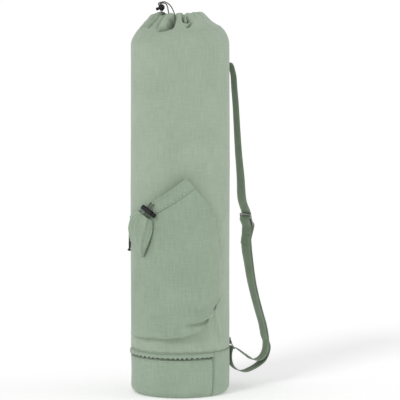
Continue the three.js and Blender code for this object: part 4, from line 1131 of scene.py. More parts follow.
def make_base():
    """The wet compartment's walls, its flap, tape and floor, and the divider above it."""
    joint = math.degrees(CLEARANCE / TUBE_RADIUS)
    front = turns_between(ZIP_START_TURN + joint, ZIP_END_TURN - joint, 180)
    back = turns_between(ZIP_END_TURN, ZIP_START_TURN + 360, 180)
    seam = SEAM_HEIGHT - CLEARANCE
    front_wall = revolved("wet_front_cloth", base_rows(FRONT_TOP), front, CLOTH_WALL, relief=panel_relief(21))
    ride(front_wall, LOWER_CLOTH, "lower_cloth", "wet_front_panel")
    back_wall = revolved("wet_back_cloth", base_rows(seam), back, CLOTH_WALL, relief=panel_relief(22))
    ride(back_wall, LOWER_CLOTH, "lower_cloth", "wet_back_panel")

    def band(low, high, reach):
        heights = low + (high - low) * edged(6, high - low)
        return np.stack([np.full(len(heights), reach), heights], axis=1)

    make_flap()
    tape_rows = band(TAPE_LOW, TAPE_LOW + ZIP_TAPE_HEIGHT, TAPE_OUTER)
    tape = revolved("zip_tape_cloth", tape_rows, front, ZIP_TAPE_THICKNESS)
    ride(tape, TAPE_CLOTH, "zip_tape", "zip_tape")
    make_disc("base_cloth", TUBE_RADIUS - BASE_ROUND - CLEARANCE, 0, LOWER_CLOTH, "lower_cloth", "base_panel")
    inner = TUBE_RADIUS - CLOTH_WALL - CLEARANCE
    make_disc("divider_cloth", inner, SEAM_HEIGHT - CLOTH_WALL / 2, BODY_CLOTH, "body_cloth", "divider_panel")


def make_flap():
    """The flap over the zip: its lip stands off the teeth and waves, so they show in dashes."""
    joint = math.degrees(CLEARANCE / TUBE_RADIUS)
    turns = turns_between(ZIP_START_TURN + joint, ZIP_END_TURN - joint, 420)[None, :]
    share = edged(10, FLAP_HEIGHT)[:, None]
    run = np.radians(turns) * TUBE_RADIUS
    wave = np.cos(2 * math.pi * run / LIP_PITCH + 1.2 * np.sin(run / 0.023) + 0.6 * np.sin(run / 0.0089))
    wave *= 0.8 + 0.35 * np.sin(run / 0.0131 + 1)
    middle_share = 1 - np.abs(2 * (turns - turns[0, 0]) / (turns[0, -1] - turns[0, 0]) - 1)
    lip = CHAIN_MIDDLE + LIP_RISE - LIP_WAVE * wave * smoothstep(0, 0.02, middle_share)
    top = SEAM_HEIGHT - CLEARANCE
    height = lip + (top - lip) * share
    points = on_tube(turns, TUBE_RADIUS, height)
    stand = LIP_STAND_OFF * (1 - share) ** 0.8 + FLAP_PUFF * np.sin(math.pi * share)
    stand = stand + FLAP_UNEVENNESS * waves(points, 31, 0.016)
    stand -= FLAP_TURN_IN * bump_of((1 - share) / 0.13)
    ends = np.minimum(turns - turns[0, 0], turns[0, -1] - turns) * ONE_DEGREE
    rounding = edge_round(ends) * edge_round(np.minimum(share, 1 - share) * FLAP_HEIGHT)
    half = CLOTH_WALL / 2
    front = on_tube(turns, TUBE_RADIUS + stand - half + half * rounding, height)
    back = on_tube(turns, TUBE_RADIUS + stand - half - half * rounding, height)
    uv = np.stack(np.broadcast_arrays(run, height), axis=-1)
    ride(shell("zip_flap_cloth", front, back, uv), LOWER_CLOTH, "lower_cloth", "zip_flap")


def make_disc(name, radius, low, material, slot, node):
    """A round panel: rings out from a small middle face, with a rounded rim and slight slack."""
    columns = 144
    angles = np.linspace(0, 2 * math.pi, columns, endpoint=False)
    rim = radius - FINE_EDGE * np.array([0.65, 0.3, 0.08, 0])
    reaches = np.concatenate([np.linspace(0.004, radius - FINE_EDGE, 20), rim])
    half = CLOTH_WALL / 2
    rings = []
    for side in (1, -1):
        for reach in reaches:
            place = np.stack([reach * np.cos(angles), reach * np.sin(angles), np.zeros(columns)], axis=1)
            place[:, 2] = low + half + side * half * edge_round(radius - reach)
            if low == 0:
                tight = math.sin(math.pi * reach / radius) ** 0.5
                place[:, 2] += FLOOR_SLACK * np.abs(waves(place * (1, 1, 0), 41, 0.05)) * tight
            rings.append(place)
    count = len(reaches)
    points = np.concatenate(rings)
    faces = []
    for side in range(2):
        for ring in range(count - 1):
            first = (side * count + ring) * columns
            for column in range(columns):
                beside = (column + 1) % columns
                quad = (first + column, first + columns + column, first + columns + beside, first + beside)
                faces.append(quad if side == 0 else quad[::-1])
        cap = tuple(range(side * count * columns, side * count * columns + columns))
        faces.append(cap if side == 0 else cap[::-1])
    top, under = (count - 1) * columns, (2 * count - 1) * columns
    for column in range(columns):
        beside = (column + 1) % columns
        faces.append((top + beside, top + column, under + column, under + beside))
    uvs = [points[index][:2] for face in faces for index in face]
    return ride(make_mesh(name, points, faces, uvs), material, slot, node)


def make_zip_teeth():
    """Two rows of moulded teeth that mesh with each other round the base."""
    arc = math.radians(ZIP_END_TURN - ZIP_START_TURN) * TUBE_RADIUS
    count = int(arc / TOOTH_PITCH) - 1
    corner = 0.26
    outline = [
        (x * 0.5, y * 0.5) for x, y in (
            (-1, -1), (1, -1), (1, 1 - corner), (1 - corner, 1), (-1 + corner, 1), (-1, 1 - corner))
    ]
    levels = ((0, 1), (0.6, 1), (0.92, 0.86), (1, 0.62))
    points, faces = [], []
    for row in (1, -1):
        for index in range(count):
            share = (index + 0.75 + row * 0.25) / (count + 0.5)
            middle = ZIP_START_TURN + (ZIP_END_TURN - ZIP_START_TURN) * share
            first = len(points)
            for depth, size in levels:
                reach = TAPE_OUTER + CLEARANCE / 2 + depth * TOOTH_DEPTH
                for x, y in outline:
                    turn = middle + math.degrees(x * size * TOOTH_WIDTH * row / reach)
                    height = CHAIN_MIDDLE + row * (0.00055 - (y * size) * TOOTH_LENGTH)
                    points.append(on_tube(turn, reach, height))
            faces += stack_faces(first, len(levels), len(outline))
    teeth = make_mesh("zip_teeth_rows", points, faces, sharp=TOOTH_CREASE)
    ride(teeth, ZIP_TEETH, "zip_teeth", "zip_chain")


def make_zip_slider():
    """The zip's slider with its hanging pull, at the hidden end of the zip."""
    body = plate("zip_slider_body", [[
        (-0.0045, 0.0058), (-0.0036, 0.0066), (0.0036, 0.0066), (0.0045, 0.0058), (0.0037, -0.0058),
        (0.003, -0.0065), (-0.003, -0.0065), (-0.0037, -0.0058),
    ]], 0.0028, 0.0006)
    pull = plate("zip_slider_pull", [
        rounded_outline(ZIP_PULL_WIDTH, ZIP_PULL_LENGTH, 0.0028, (0, -0.0132)),
        rounded_outline(0.0028, 0.0052, 0.0013, (0, -0.0198))[::-1],
    ], ZIP_PULL_THICKNESS, 0.0005)
    pull.data.transform(Matrix.Translation((0, 0, 0.0005)))
    combine(body, pull, "UNION")
    body.name = "zip_slider_plate"
    centre = Vector(on_tube(ZIP_SLIDER_TURN, TAPE_OUTER + TOOTH_DEPTH + 0.0022, CHAIN_MIDDLE))
    side = sideways(ZIP_SLIDER_TURN)
    placed(body, side, Vector((0, 0, 1)), centre)
    ride(body, DARK_METAL, "zip_teeth", "zip_slider")


# The pocket's four borders, from the left seam and from the bottom: a turn, and a height as a
# share of the pocket's own
POCKET_BOTTOM = (
    (-78, 0), (-59, 0), (-35, 0), (-17, 0), (-5, 0.009), (5, 0.025), (20.7, 0.056), (30.8, 0.09),
    (42, 0.185),
)
POCKET_RIGHT = (
    (42, 0.185), (50.5, 0.27), (52.4, 0.409), (51.1, 0.509), (46.7, 0.57),
    (40.8, 0.712), (34.4, 0.773), (29.3, 0.834), (18.2, 0.916), (6.1, 1),
)
POCKET_MOUTH = (
    (-78, 0.731), (-60, 0.769), (-45, 0.803), (-35.7, 0.829), (-21.2, 0.878), (-8.2, 0.932), (6.1, 1),
)
POCKET_LEFT = ((-78, 0), (-78, 0.731))

# How far the pocket bulges, as shares of its depth: up its height, and across it low down and
# at its mouth
BULGE_UP = ((0, 0), (0.03, 0.62), (0.1, 0.95), (0.25, 1), (0.55, 0.85), (0.8, 0.62), (1, 0.55))
BULGE_LOW = ((0, 0), (0.12, 0.4), (0.3, 0.85), (0.5, 1), (0.7, 0.95), (0.88, 0.6), (1, 0))
BULGE_MOUTH = (
    (0, 0), (0.15, 0.22), (0.35, 0.38), (0.5, 0.56), (0.65, 1.15), (0.8, 1.3), (0.92, 1.35), (1, 1.15),
)

# How much of the overhang shows across the pocket's bottom
OVERHANG_SHARES = (
    (0, 0.5), (0.16, 1), (0.29, 0.9), (0.37, 0.35), (0.45, 0.9), (0.54, 1.1), (0.62, 1.45), (0.73, 1.2),
    (0.81, 0.4), (1, 0),
)

# Folds across the pocket between two places, each a share across and a share up, with a width
# as a share too and a height as a share of the pocket's depth
POCKET_FOLDS = (
    ((0.95, 0.075), (0.8, 0.125), 0.022, -0.3),
    ((0.86, 0.11), (0.42, 0.2), 0.04, -0.2),
    ((0.93, 0.12), (0.78, 0.17), 0.025, 0.12),
    ((0.8, 0.055), (0.55, 0.09), 0.012, -0.38),
    ((0.84, 0.09), (0.6, 0.13), 0.018, 0.2),
    ((0.82, 0.018), (0.6, 0.045), 0.016, 0.12),
    ((0.965, 0.05), (0.945, 0.05), 0.016, -1),
    ((0.96, 0.1), (0.93, 0.1), 0.02, 0.2),
    ((0.955, 0.09), (0.9, 0.05), 0.016, 0.2),
    ((0.62, 0.93), (0.92, 0.62), 0.05, 0.1),
    ((0.55, 0.86), (0.5, 0.45), 0.06, -0.12),
    ((0.3, 0.6), (0.12, 0.2), 0.07, -0.1),
)


def border(rows):
    low = SEAM_HEIGHT + POCKET_LIFT
    points = [(math.radians(turn) * TUBE_RADIUS, low + up * POCKET_HEIGHT) for turn, up in rows]
    line = spline(points, count=400)

    def read(share):
        place = np.clip(share, 0, 1) * (len(line) - 1)
        return np.stack([np.interp(place, np.arange(len(line)), line[:, k]) for k in range(2)], axis=-1)
    return read


BORDERS = {
    "bottom": border(POCKET_BOTTOM),
    "top": border(POCKET_MOUTH),
    "left": border(POCKET_LEFT),
    "right": border(POCKET_RIGHT),
}


def pocket_place(across, up):
    """A place on the unrolled pocket, round the tube and up it, from its shares across and up."""
    across, up = np.broadcast_arrays(np.asarray(across, float), np.asarray(up, float))
    u, v = across[..., None], up[..., None]
    bottom, top = BORDERS["bottom"], BORDERS["top"]
    between = bottom(across) * (1 - v) + top(across) * v
    beside = BORDERS["left"](up) * (1 - u) + BORDERS["right"](up) * u
    low = bottom(np.zeros_like(across)) * (1 - u) + bottom(np.ones_like(across)) * u
    high = top(np.zeros_like(across)) * (1 - u) + top(np.ones_like(across)) * u
    return between + beside - low * (1 - v) - high * v


def pocket_bulge(across, up):
    blend = up * up * (3 - 2 * up)
    spread = read_table(BULGE_LOW, across) * (1 - blend) + read_table(BULGE_MOUTH, across) * blend
    full = read_table(BULGE_UP, up) * spread
    folds = np.zeros_like(full)
    for start, stop, width, rise in POCKET_FOLDS:
        run = np.subtract(stop, start)
        here = np.stack([across - start[0], up - start[1]], axis=-1)
        share = np.clip(here @ run / (run @ run), 0, 1)
        aside = np.linalg.norm(here - share[..., None] * run, axis=-1)
        folds += rise * bump_of(aside / width) * np.sin(math.pi * (0.25 + 0.75 * share))
    folded = full + folds * np.minimum(full * 5, 1)
    return POCKET_DEPTH * np.maximum(folded, np.minimum(full, 0.12))


def hem_start(across):
    height = np.linalg.norm(pocket_place(across, 1.0) - pocket_place(across, 0.0), axis=-1)
    return 1 - HEM_WIDTH / height


def pocket_point(across, up, lift):
    """A point on the pocket's cloth. Low down it hangs over its own bottom seam."""
    across, up = np.broadcast_arrays(np.asarray(across, float), np.asarray(up, float))
    place = pocket_place(across, up)
    bulge = pocket_bulge(across, up)
    sag = POCKET_OVERHANG * bump_of((up - 0.03) / 0.023) * read_table(OVERHANG_SHARES, across)
    reach = TUBE_RADIUS + CLEARANCE + bulge + lift
    return on_tube(np.degrees(place[..., 0] / TUBE_RADIUS), reach, place[..., 1] - sag)


def pocket_sheet(name, across, up, thickness, detail):
    """A piece of the pocket between two shares up, as a sheet with rounded borders."""
    flat = pocket_place(across, up)
    steps = np.linalg.norm(np.diff(flat, axis=0), axis=-1)
    rise = np.concatenate([np.zeros((1, flat.shape[1])), np.cumsum(steps, axis=0)])
    steps = np.linalg.norm(np.diff(flat, axis=1), axis=-1)
    run = np.concatenate([np.zeros((flat.shape[0], 1)), np.cumsum(steps, axis=1)], axis=1)
    border_distance = np.minimum(np.minimum(rise, rise[-1] - rise), np.minimum(run, run[:, -1:] - run))
    rounding = edge_round(border_distance)
    half = thickness / 2
    stand = detail(across, up)
    front = pocket_point(across, up, half + half * rounding + stand)
    back = pocket_point(across, up, half - half * rounding + stand)
    return shell(name, front, back, flat)


def make_pocket():
    """The pocket's panel and the hem along its mouth."""
    columns = edged(120, 0.25)[None, :]

    def panel_detail(across, up):
        points = pocket_point(across, up, 0)
        soft = POCKET_SLACK * waves(points, 51, 0.05) * np.clip(np.sin(math.pi * across), 0, 1) ** 0.5
        pucker = POCKET_PUCKER * np.cos(across * 190) * bump_of(up / 0.03)
        rolled = POCKET_ROLL * bump_of((1 - across) / 0.012) * smoothstep(0.25, 0.45, up)
        return soft + pucker + rolled

    seam = CLEARANCE / POCKET_HEIGHT
    rows = edged(110, POCKET_HEIGHT)[:, None] ** 1.15
    up = rows * (hem_start(columns) - seam)
    panel = pocket_sheet("pocket_cloth", columns + 0 * rows, up, CLOTH_WALL, panel_detail)
    ride(panel, POCKET_CLOTH, "pocket_cloth", "pocket_panel")

    def hem_detail(across, up):
        share = (up - hem_start(across)) / (1 - hem_start(across))
        groove = -HEM_GROOVE * bump_of((share - HEM_SEAM_SHARE) / 0.06)
        pull = HEM_PULL * np.cos(across * 150) * bump_of((share - HEM_SEAM_SHARE) / 0.25)
        piping = HEM_PIPING * bump_of((share - 0.93) / 0.08) - HEM_DIP * bump_of((share - 0.72) / 0.12)
        curl = HEM_CURL * smoothstep(0.88, 1, across) * smoothstep(0.3, 0.9, share)
        ruffled = bump_of((across - 0.44) / 0.08) * smoothstep(0.3, 1, share)
        ruffle = HEM_RUFFLE * np.cos(across * 2 * math.pi / RUFFLE_PITCH) * ruffled
        return groove + pull * smoothstep(0.02, 0.1, across) + piping + curl + ruffle

    rows = edged(16, HEM_WIDTH)[:, None]
    start = hem_start(columns)
    up = start + (1 - start) * rows
    hem = pocket_sheet("pocket_hem_cloth", columns + 0 * rows, up, HEM_THICKNESS, hem_detail)
    ride(hem, POCKET_CLOTH, "pocket_cloth", "pocket_hem")


# The gathered hem end, from its top down: how far down its left and right edges are as shares of
# its length, their turns, and the room behind it at the left edge, in the middle and at the
# right edge as shares of the cord room
GATHER_ROWS = (
    (0, 0.19, -46, -30, 0.85, 1, 0.25),
    (0.08, 0.25, -54, -29.2, 0.7, 0.85, 0.15),
    (0.22, 0.34, -64, -29.2, 0.45, 0.55, 0.1),
    (0.4, 0.47, -70, -29.8, 0.42, 0.45, 0.16),
    (0.58, 0.61, -69, -31.8, 0.38, 0.4, 0.36),
    (0.76, 0.78, -62, -35, 0.3, 0.32, 0.32),
    (0.9, 0.92, -53, -38.5, 0.15, 0.18, 0.16),
    (1, 1, -46, -40, 0.06, 0.06, 0.04),
)

# The gathered end's crests: their share across, their half width and their height as a share of
# the tallest, and how far down they run
GATHER_CRESTS = (
    (0.1, 0.07, 0.6, 0.85),
    (0.3, 0.06, 0.7, 0.65),
    (0.46, 0.06, 0.8, 0.8),
    (0.76, 0.055, 1, 1.1),
    (0.95, 0.045, 1.1, 1.1),
)
CREST_HEIGHT = 0.0046


def pocket_reach(turn, height):
    """The reach of the pocket's outer face at turns and heights, found by walking to them."""
    wanted = np.stack([np.radians(turn) * TUBE_RADIUS, height], axis=-1)
    step = 0.01
    across = np.full(wanted.shape[:-1], 0.5)
    up = np.full(wanted.shape[:-1], 0.5)
    for _ in range(25):
        here = pocket_place(across, up)
        side = (pocket_place(across + step, up) - here) / step
        above = (pocket_place(across, up + step) - here) / step
        gap = wanted - here
        area = side[..., 0] * above[..., 1] - side[..., 1] * above[..., 0]
        across = across + 0.7 * (gap[..., 0] * above[..., 1] - gap[..., 1] * above[..., 0]) / area
        up = up + 0.7 * (side[..., 0] * gap[..., 1] - side[..., 1] * gap[..., 0]) / area
        across, up = np.clip(across, 0, 0.99), np.clip(up, 0, 0.99)
    thickness = CLOTH_WALL + (HEM_THICKNESS - CLOTH_WALL) * smoothstep(-0.05, -0.01, up - hem_start(across))
    return TUBE_RADIUS + CLEARANCE + pocket_bulge(across, up) + thickness


def make_gather():
    """The gathered end of the hem, with crests that run together under the cord lock."""
    table = np.array(GATHER_ROWS)
    table[:, 2:4] /= 100
    rows = spline(table, count=72)
    rows[:, 2:4] *= 100
    across = edged(72, 0.05)
    share = across[None, :]
    turn = rows[:, 2:3] + (rows[:, 3:4] - rows[:, 2:3]) * share
    down = rows[:, 0:1] + (rows[:, 1:2] - rows[:, 0:1]) * share
    height = GATHER_TOP_HEIGHT - down * GATHER_LENGTH
    edge = np.where(share < 0.5, rows[:, 4:5], rows[:, 6:7])
    room = edge + (rows[:, 5:6] - edge) * np.sin(math.pi * share)
    crest = np.zeros_like(turn)
    for place, width, size, run in GATHER_CRESTS:
        here = place + 0.03 * np.sin(5 * down + place * 9)
        shown = size * (1 - smoothstep(run - 0.35, run + 0.1, down))
        shown = shown * (0.55 + 0.45 * smoothstep(0, 0.3, down))
        crest = np.maximum(crest, shown * np.exp(-np.abs((share - here) / width) ** 1.5))
    reach = pocket_reach(turn, height) + CLEARANCE + CORD_ROOM * room + CREST_HEIGHT * crest
    lengths = np.minimum(np.arange(len(rows)), np.arange(len(rows))[::-1]) * GATHER_LENGTH / len(rows)
    sides = np.minimum(share, 1 - share) * 0.05
    rounding = edge_round(np.minimum(lengths[:, None], sides))
    half = CLOTH_WALL / 2
    front = on_tube(turn, reach + half + half * rounding, height)
    back = on_tube(turn, reach + half - half * rounding, height)
    uv = np.stack([np.radians(turn) * TUBE_RADIUS, height], axis=-1)
    ride(shell("pocket_gather_cloth", front, back, uv), POCKET_CLOTH, "pocket_cloth", "pocket_gather")


# The strap's run from its patch to the slider: out from the tube as a share of the stand-off,
# and up as a share of the height from the slider to the strap's top, with its turn
UPPER_RUN = (
    (0.017, 0.973, 118), (0.043, 1, 117), (0.085, 1.007, 116), (0.128, 0.989, 115), (0.155, 0.957, 114.5),
    (0.181, 0.925, 114.5), (0.21, 0.844, 115.5), (0.244, 0.743, 116), (0.286, 0.59, 117), (0.331, 0.436, 118),
    (0.397, 0.283, 119.5), (0.464, 0.127, 121.5),
)

# The inner strand below the slider, with up as a share of the height from the seam to it
INNER_RUN = (
    (0.61, 0.882, 124), (0.62, 0.791, 123.7), (0.664, 0.63, 123), (0.704, 0.5, 122), (0.768, 0.367, 121),
    (0.86, 0.231, 120.5), (0.928, 0.131, 120), (0.968, 0.032, 119.5),
)

# The two strands round the foot of the loop to the ring, with up from the seam as a share of how
# far the loop hangs below it
INNER_FOOT = (
    (0.973, -0.146, 119), (0.941, -0.388, 118.5), (0.865, -0.563, 118), (0.736, -0.65, 117),
    (0.611, -0.611, 116), (0.465, -0.456, 113), (0.317, -0.281, 110), (0.21, -0.146, 108.3),
)
OUTER_FOOT = (
    (0.062, -0.272, 108), (0.065, -0.495, 108.5), (0.116, -0.728, 110), (0.231, -0.902, 112),
    (0.406, -0.999, 114.5), (0.578, -0.941, 116), (0.747, -0.825, 117), (0.876, -0.689, 118),
    (0.964, -0.456, 118.5), (1.001, -0.184, 119),
)

# The strap's way through its slider: outward from its centre as a share of the reach of a layer
# that lies on its face, and up as a share of half its height
THROUGH_SLIDER = (
    (1.13, 1.292), (1.261, 1.042), (1.261, 0.825), (0.826, 0.633), (0, 0.492), (-1.13, 0.358),
    (-1.783, 0.125), (-1.783, -0.125), (-1.435, -0.5), (-1.13, -0.792), (-1.043, -1.083),
)
ROUND_MIDDLE_BAR = (
    (1.913, -1.083), (1.957, -0.767), (1.435, -0.458), (1, -0.15), (1, 0.083), (0.696, 0.192), (0, 0.225),
    (-0.696, 0.192), (-1, 0.083), (-1, -0.125), (-0.783, -0.283), (-0.174, -0.425), (0.609, -0.55),
    (1.13, -0.767), (1.043, -1.083),
)
TURN_SCALE = 0.001
FOLD_RADIUS = RING_WIRE / 2 + CLEARANCE + STRAP_THICKNESS / 2
WEBBING_SEAT = TUBE_RADIUS + CLEARANCE + STRAP_THICKNESS / 2
INNER_BAR = (WEBBING_SEAT + FOLD_RADIUS, SEAM_HEIGHT + RING_BAR_RISE)
BAR_SPAN = RING_HEIGHT - RING_WIRE
OUTER_BAR = (
    INNER_BAR[0] + BAR_SPAN * math.sin(math.radians(RING_TILT)),
    INNER_BAR[1] - BAR_SPAN * math.cos(math.radians(RING_TILT)),
)


def stations(rows, low, high):
    """Reach, height and scaled turn of a strap's rows, with up between two heights."""
    return np.array([
        (TUBE_RADIUS + out * STRAP_STAND_OFF, low + (high - low) * up, turn * TURN_SCALE)
        for out, up, turn in rows
    ])


def slider_places(rows):
    lean = math.radians(SLIDER_LEAN)
    layer = SLIDER_THICKNESS / 2 + STRAP_THICKNESS / 2 + CLEARANCE
    places = []
    for out, up in rows:
        out, up = out * layer, up * SLIDER_HEIGHT / 2
        places.append((
            TUBE_RADIUS + SLIDER_OUT * STRAP_STAND_OFF + out * math.cos(lean) - up * math.sin(lean),
            SLIDER_CENTRE_HEIGHT + out * math.sin(lean) + up * math.cos(lean),
            SLIDER_TURN * TURN_SCALE,
        ))
    return np.array(places)


def around_bar(bar, first, last, turn, count=14):
    angles = np.radians(np.linspace(first, last, count))
    reach = bar[0] + FOLD_RADIUS * np.cos(angles)
    return np.stack([reach, bar[1] + FOLD_RADIUS * np.sin(angles), np.full(count, turn * TURN_SCALE)], axis=1)


def strap_side(turn, height):
    return sideways(turn + MOST_TWIST * math.exp(-((height - SLIDER_CENTRE_HEIGHT) / TWIST_LENGTH) ** 2))


def webbing_strip(name, run, nodes, twisted):
    """Ribbed webbing along stations, with rounded edges."""
    points = on_tube(run[:, 2] / TURN_SCALE, run[:, 0], run[:, 1])
    along = np.gradient(points, axis=0)
    along /= np.linalg.norm(along, axis=1)[:, None]
    sides = np.array([
        strap_side(turn / TURN_SCALE, height) if twisted else sideways(turn / TURN_SCALE)
        for _, height, turn in run
    ])
    normal = np.cross(along, sides)
    normal /= np.linalg.norm(normal, axis=1)[:, None]
    across = edged(45, STRAP_WIDTH, WEBBING_EDGE) - 0.5
    ribs = RIB_DEPTH * (np.abs(np.cos(math.pi * across * STRAP_WIDTH / RIB_PITCH)) - 1)
    rounding = edge_round((0.5 - np.abs(across)) * STRAP_WIDTH, WEBBING_EDGE)
    lift = STRAP_THICKNESS / 2 * rounding + ribs * rounding
    middle = points[:, None] + sides[:, None] * (across * STRAP_WIDTH)[None, :, None]
    front = middle + normal[:, None] * lift[None, :, None]
    back = middle - normal[:, None] * lift[None, :, None]
    distance = lengths_along(points)
    uv = np.stack(np.broadcast_arrays((across * STRAP_WIDTH)[None, :], distance[:, None]), axis=-1)
    return ride(shell(name, front, back, uv), WEBBING, "webbing", *nodes)


def layer_outside(run, distance):
    along = np.gradient(run[:, :2], axis=0)
    along /= np.linalg.norm(along, axis=1)[:, None]
    moved = run.copy()
    moved[:, 0] -= along[:, 1] * distance
    moved[:, 1] += along[:, 0] * distance
    return moved


def make_strap():
    """The shoulder strap in one run: patch, slider, foot of the loop, ring, slider and tail."""
    patch_top = STRAP_TOP - STRAP_PATCH_BELOW
    patch = np.array([
        (WEBBING_SEAT, patch_top - STRAP_PATCH_LENGTH * (1 - share), STRAP_PATCH_TURN * TURN_SCALE)
        for share in (0, 0.5, 1)
    ])
    through, middle = slider_places(THROUGH_SLIDER), slider_places(ROUND_MIDDLE_BAR)
    upper = stations(UPPER_RUN, SLIDER_CENTRE_HEIGHT, STRAP_TOP)
    inner = stations(INNER_RUN, SEAM_HEIGHT, SLIDER_CENTRE_HEIGHT)
    above = spline(np.concatenate([patch, upper, through[:1]]), spacing=0.004)
    down = spline(
        np.concatenate([through[-1:], inner, stations(INNER_FOOT, SEAM_HEIGHT, SEAM_HEIGHT + STRAP_DROP)]),
        spacing=0.004)
    wrap = around_bar(OUTER_BAR, 63, 168, RING_TURN)
    beside = layer_outside(inner[1:], -(STRAP_THICKNESS + STRAND_SLACK))[::-1]
    up = spline(
        np.concatenate([stations(OUTER_FOOT, SEAM_HEIGHT, SEAM_HEIGHT + STRAP_DROP), beside, middle[:1]]),
        spacing=0.004)
    tail = []
    for share in (0.25, 0.5, 0.75, 1):
        height = middle[-1][1] - share * TAIL_LENGTH
        near = up[np.argmin(np.abs(up[:, 1] - height))]
        reach = near[0] - (STRAP_THICKNESS + CLEARANCE) - (near[1] - height) * 0.02
        blend = min(share * 2, 1)
        tail.append((middle[-1][0] * (1 - blend) + reach * blend, height, near[2]))
    run = np.concatenate([
        above,
        spline(through, spacing=0.0011)[1:-1],
        down,
        wrap,
        up,
        spline(middle, spacing=0.0011)[1:-1],
        spline(np.concatenate([middle[-1:], np.array(tail)]), spacing=0.003),
    ])
    webbing_strip("shoulder_strap_webbing", run, ("shoulder_strap",), True)

    lap = STRAP_THICKNESS + CLEARANCE
    top = INNER_BAR[1] + TAB_LENGTH
    turn = RING_TURN * TURN_SCALE
    tab = np.concatenate([
        spline([
            (WEBBING_SEAT, top, turn),
            (WEBBING_SEAT, INNER_BAR[1] + RING_WIRE / 2, turn),
        ], spacing=0.002),
        around_bar(INNER_BAR, 180, 360, RING_TURN, 20),
        spline([
            (WEBBING_SEAT + lap + 2 * CLEARANCE, INNER_BAR[1] + RING_WIRE + FOLD_RADIUS, turn),
            (WEBBING_SEAT + lap, top, turn),
        ], spacing=0.002),
    ])
    webbing_strip("ring_tab_webbing", tab, ("ring_tab",), False)


def make_hardware():
    """The strap's slider and ring, as rounded metal frames."""
    slot_height = (SLIDER_HEIGHT - 3 * SLIDER_BAR) / 2
    centre = (SLIDER_BAR + slot_height) / 2
    across = SLIDER_WIDTH - 2 * SLIDER_RAIL
    slider = plate("strap_slider_metal", [
        rounded_outline(SLIDER_WIDTH, SLIDER_HEIGHT, METAL_CORNER),
        rounded_outline(across, slot_height, METAL_SLOT_CORNER, (0, centre))[::-1],
        rounded_outline(across, slot_height, METAL_SLOT_CORNER, (0, -centre))[::-1],
    ], SLIDER_THICKNESS, SLIDER_BEVEL, 4)
    lean = math.radians(SLIDER_LEAN)
    side = strap_side(SLIDER_TURN, SLIDER_CENTRE_HEIGHT)
    up = Vector(on_tube(SLIDER_TURN, -math.sin(lean), math.cos(lean)))
    up = (up - side * up.dot(side)).normalized()
    reach = TUBE_RADIUS + SLIDER_OUT * STRAP_STAND_OFF
    placed(slider, side, up, Vector(on_tube(SLIDER_TURN, reach, SLIDER_CENTRE_HEIGHT)))
    ride(slider, DARK_METAL, "dark_metal", "strap_slider")

    ring = plate("strap_ring_metal", [
        rounded_outline(RING_WIDTH, RING_HEIGHT, METAL_CORNER, steps=8),
        rounded_outline(RING_WIDTH - 2 * RING_WIRE, RING_HEIGHT - 2 * RING_WIRE, METAL_SLOT_CORNER)[::-1],
    ], RING_WIRE, RING_BEVEL, 5)
    tilt = math.radians(RING_TILT)
    up = Vector(on_tube(RING_TURN, -math.sin(tilt), math.cos(tilt)))
    middle = on_tube(RING_TURN, (INNER_BAR[0] + OUTER_BAR[0]) / 2, (INNER_BAR[1] + OUTER_BAR[1]) / 2)
    placed(ring, sideways(RING_TURN), up, Vector(middle))
    ride(ring, DARK_METAL, "dark_metal", "strap_ring")


def stitches(name, line, outward, slot):
    """Thread stitches along a line, each arched out of the cloth. outward is its normals."""
    length, gap, radius = STITCH_LENGTH, STITCH_GAP, THREAD_RADIUS
    along = lengths_along(line)
    places = np.arange(gap, along[-1] - length, length + gap)
    sides, rings = 6, 5
    points, faces = [], []
    angles = np.linspace(0, 2 * math.pi, sides, endpoint=False)

    def read(array, distance):
        return np.array([np.interp(distance, along, array[:, k]) for k in range(3)])

    for start in places:
        first = len(points)
        tangent = read(line, start + length) - read(line, start)
        tangent /= np.linalg.norm(tangent)
        for ring in range(rings):
            share = ring / (rings - 1)
            normal = read(outward, start + share * length)
            normal /= np.linalg.norm(normal)
            other = np.cross(tangent, normal)
            arch = math.sin(math.pi * share)
            centre = read(line, start + share * length) + normal * radius * (1.1 * arch - 0.45)
            size = radius * (0.55 + 0.45 * arch)
            ring_points = np.outer(np.cos(angles), normal) + np.outer(np.sin(angles), other)
            points.extend(centre + size * ring_points)
        faces += stack_faces(first, rings, sides)
    return ride(make_mesh(name, points, faces), THREAD, slot)


def surface_line(across, up, lift):
    """A line on the pocket's outer face with its normals."""
    line = pocket_point(across, up, lift)
    beside = pocket_point(across + 0.003, up, lift)
    above = pocket_point(across, up - 0.003, lift)
    normal = np.cross(beside - line, line - above)
    normal *= np.sign(np.einsum("ij,ij->i", normal, line * (1, 1, 0)))[:, None]
    return line, normal / np.linalg.norm(normal, axis=1)[:, None]


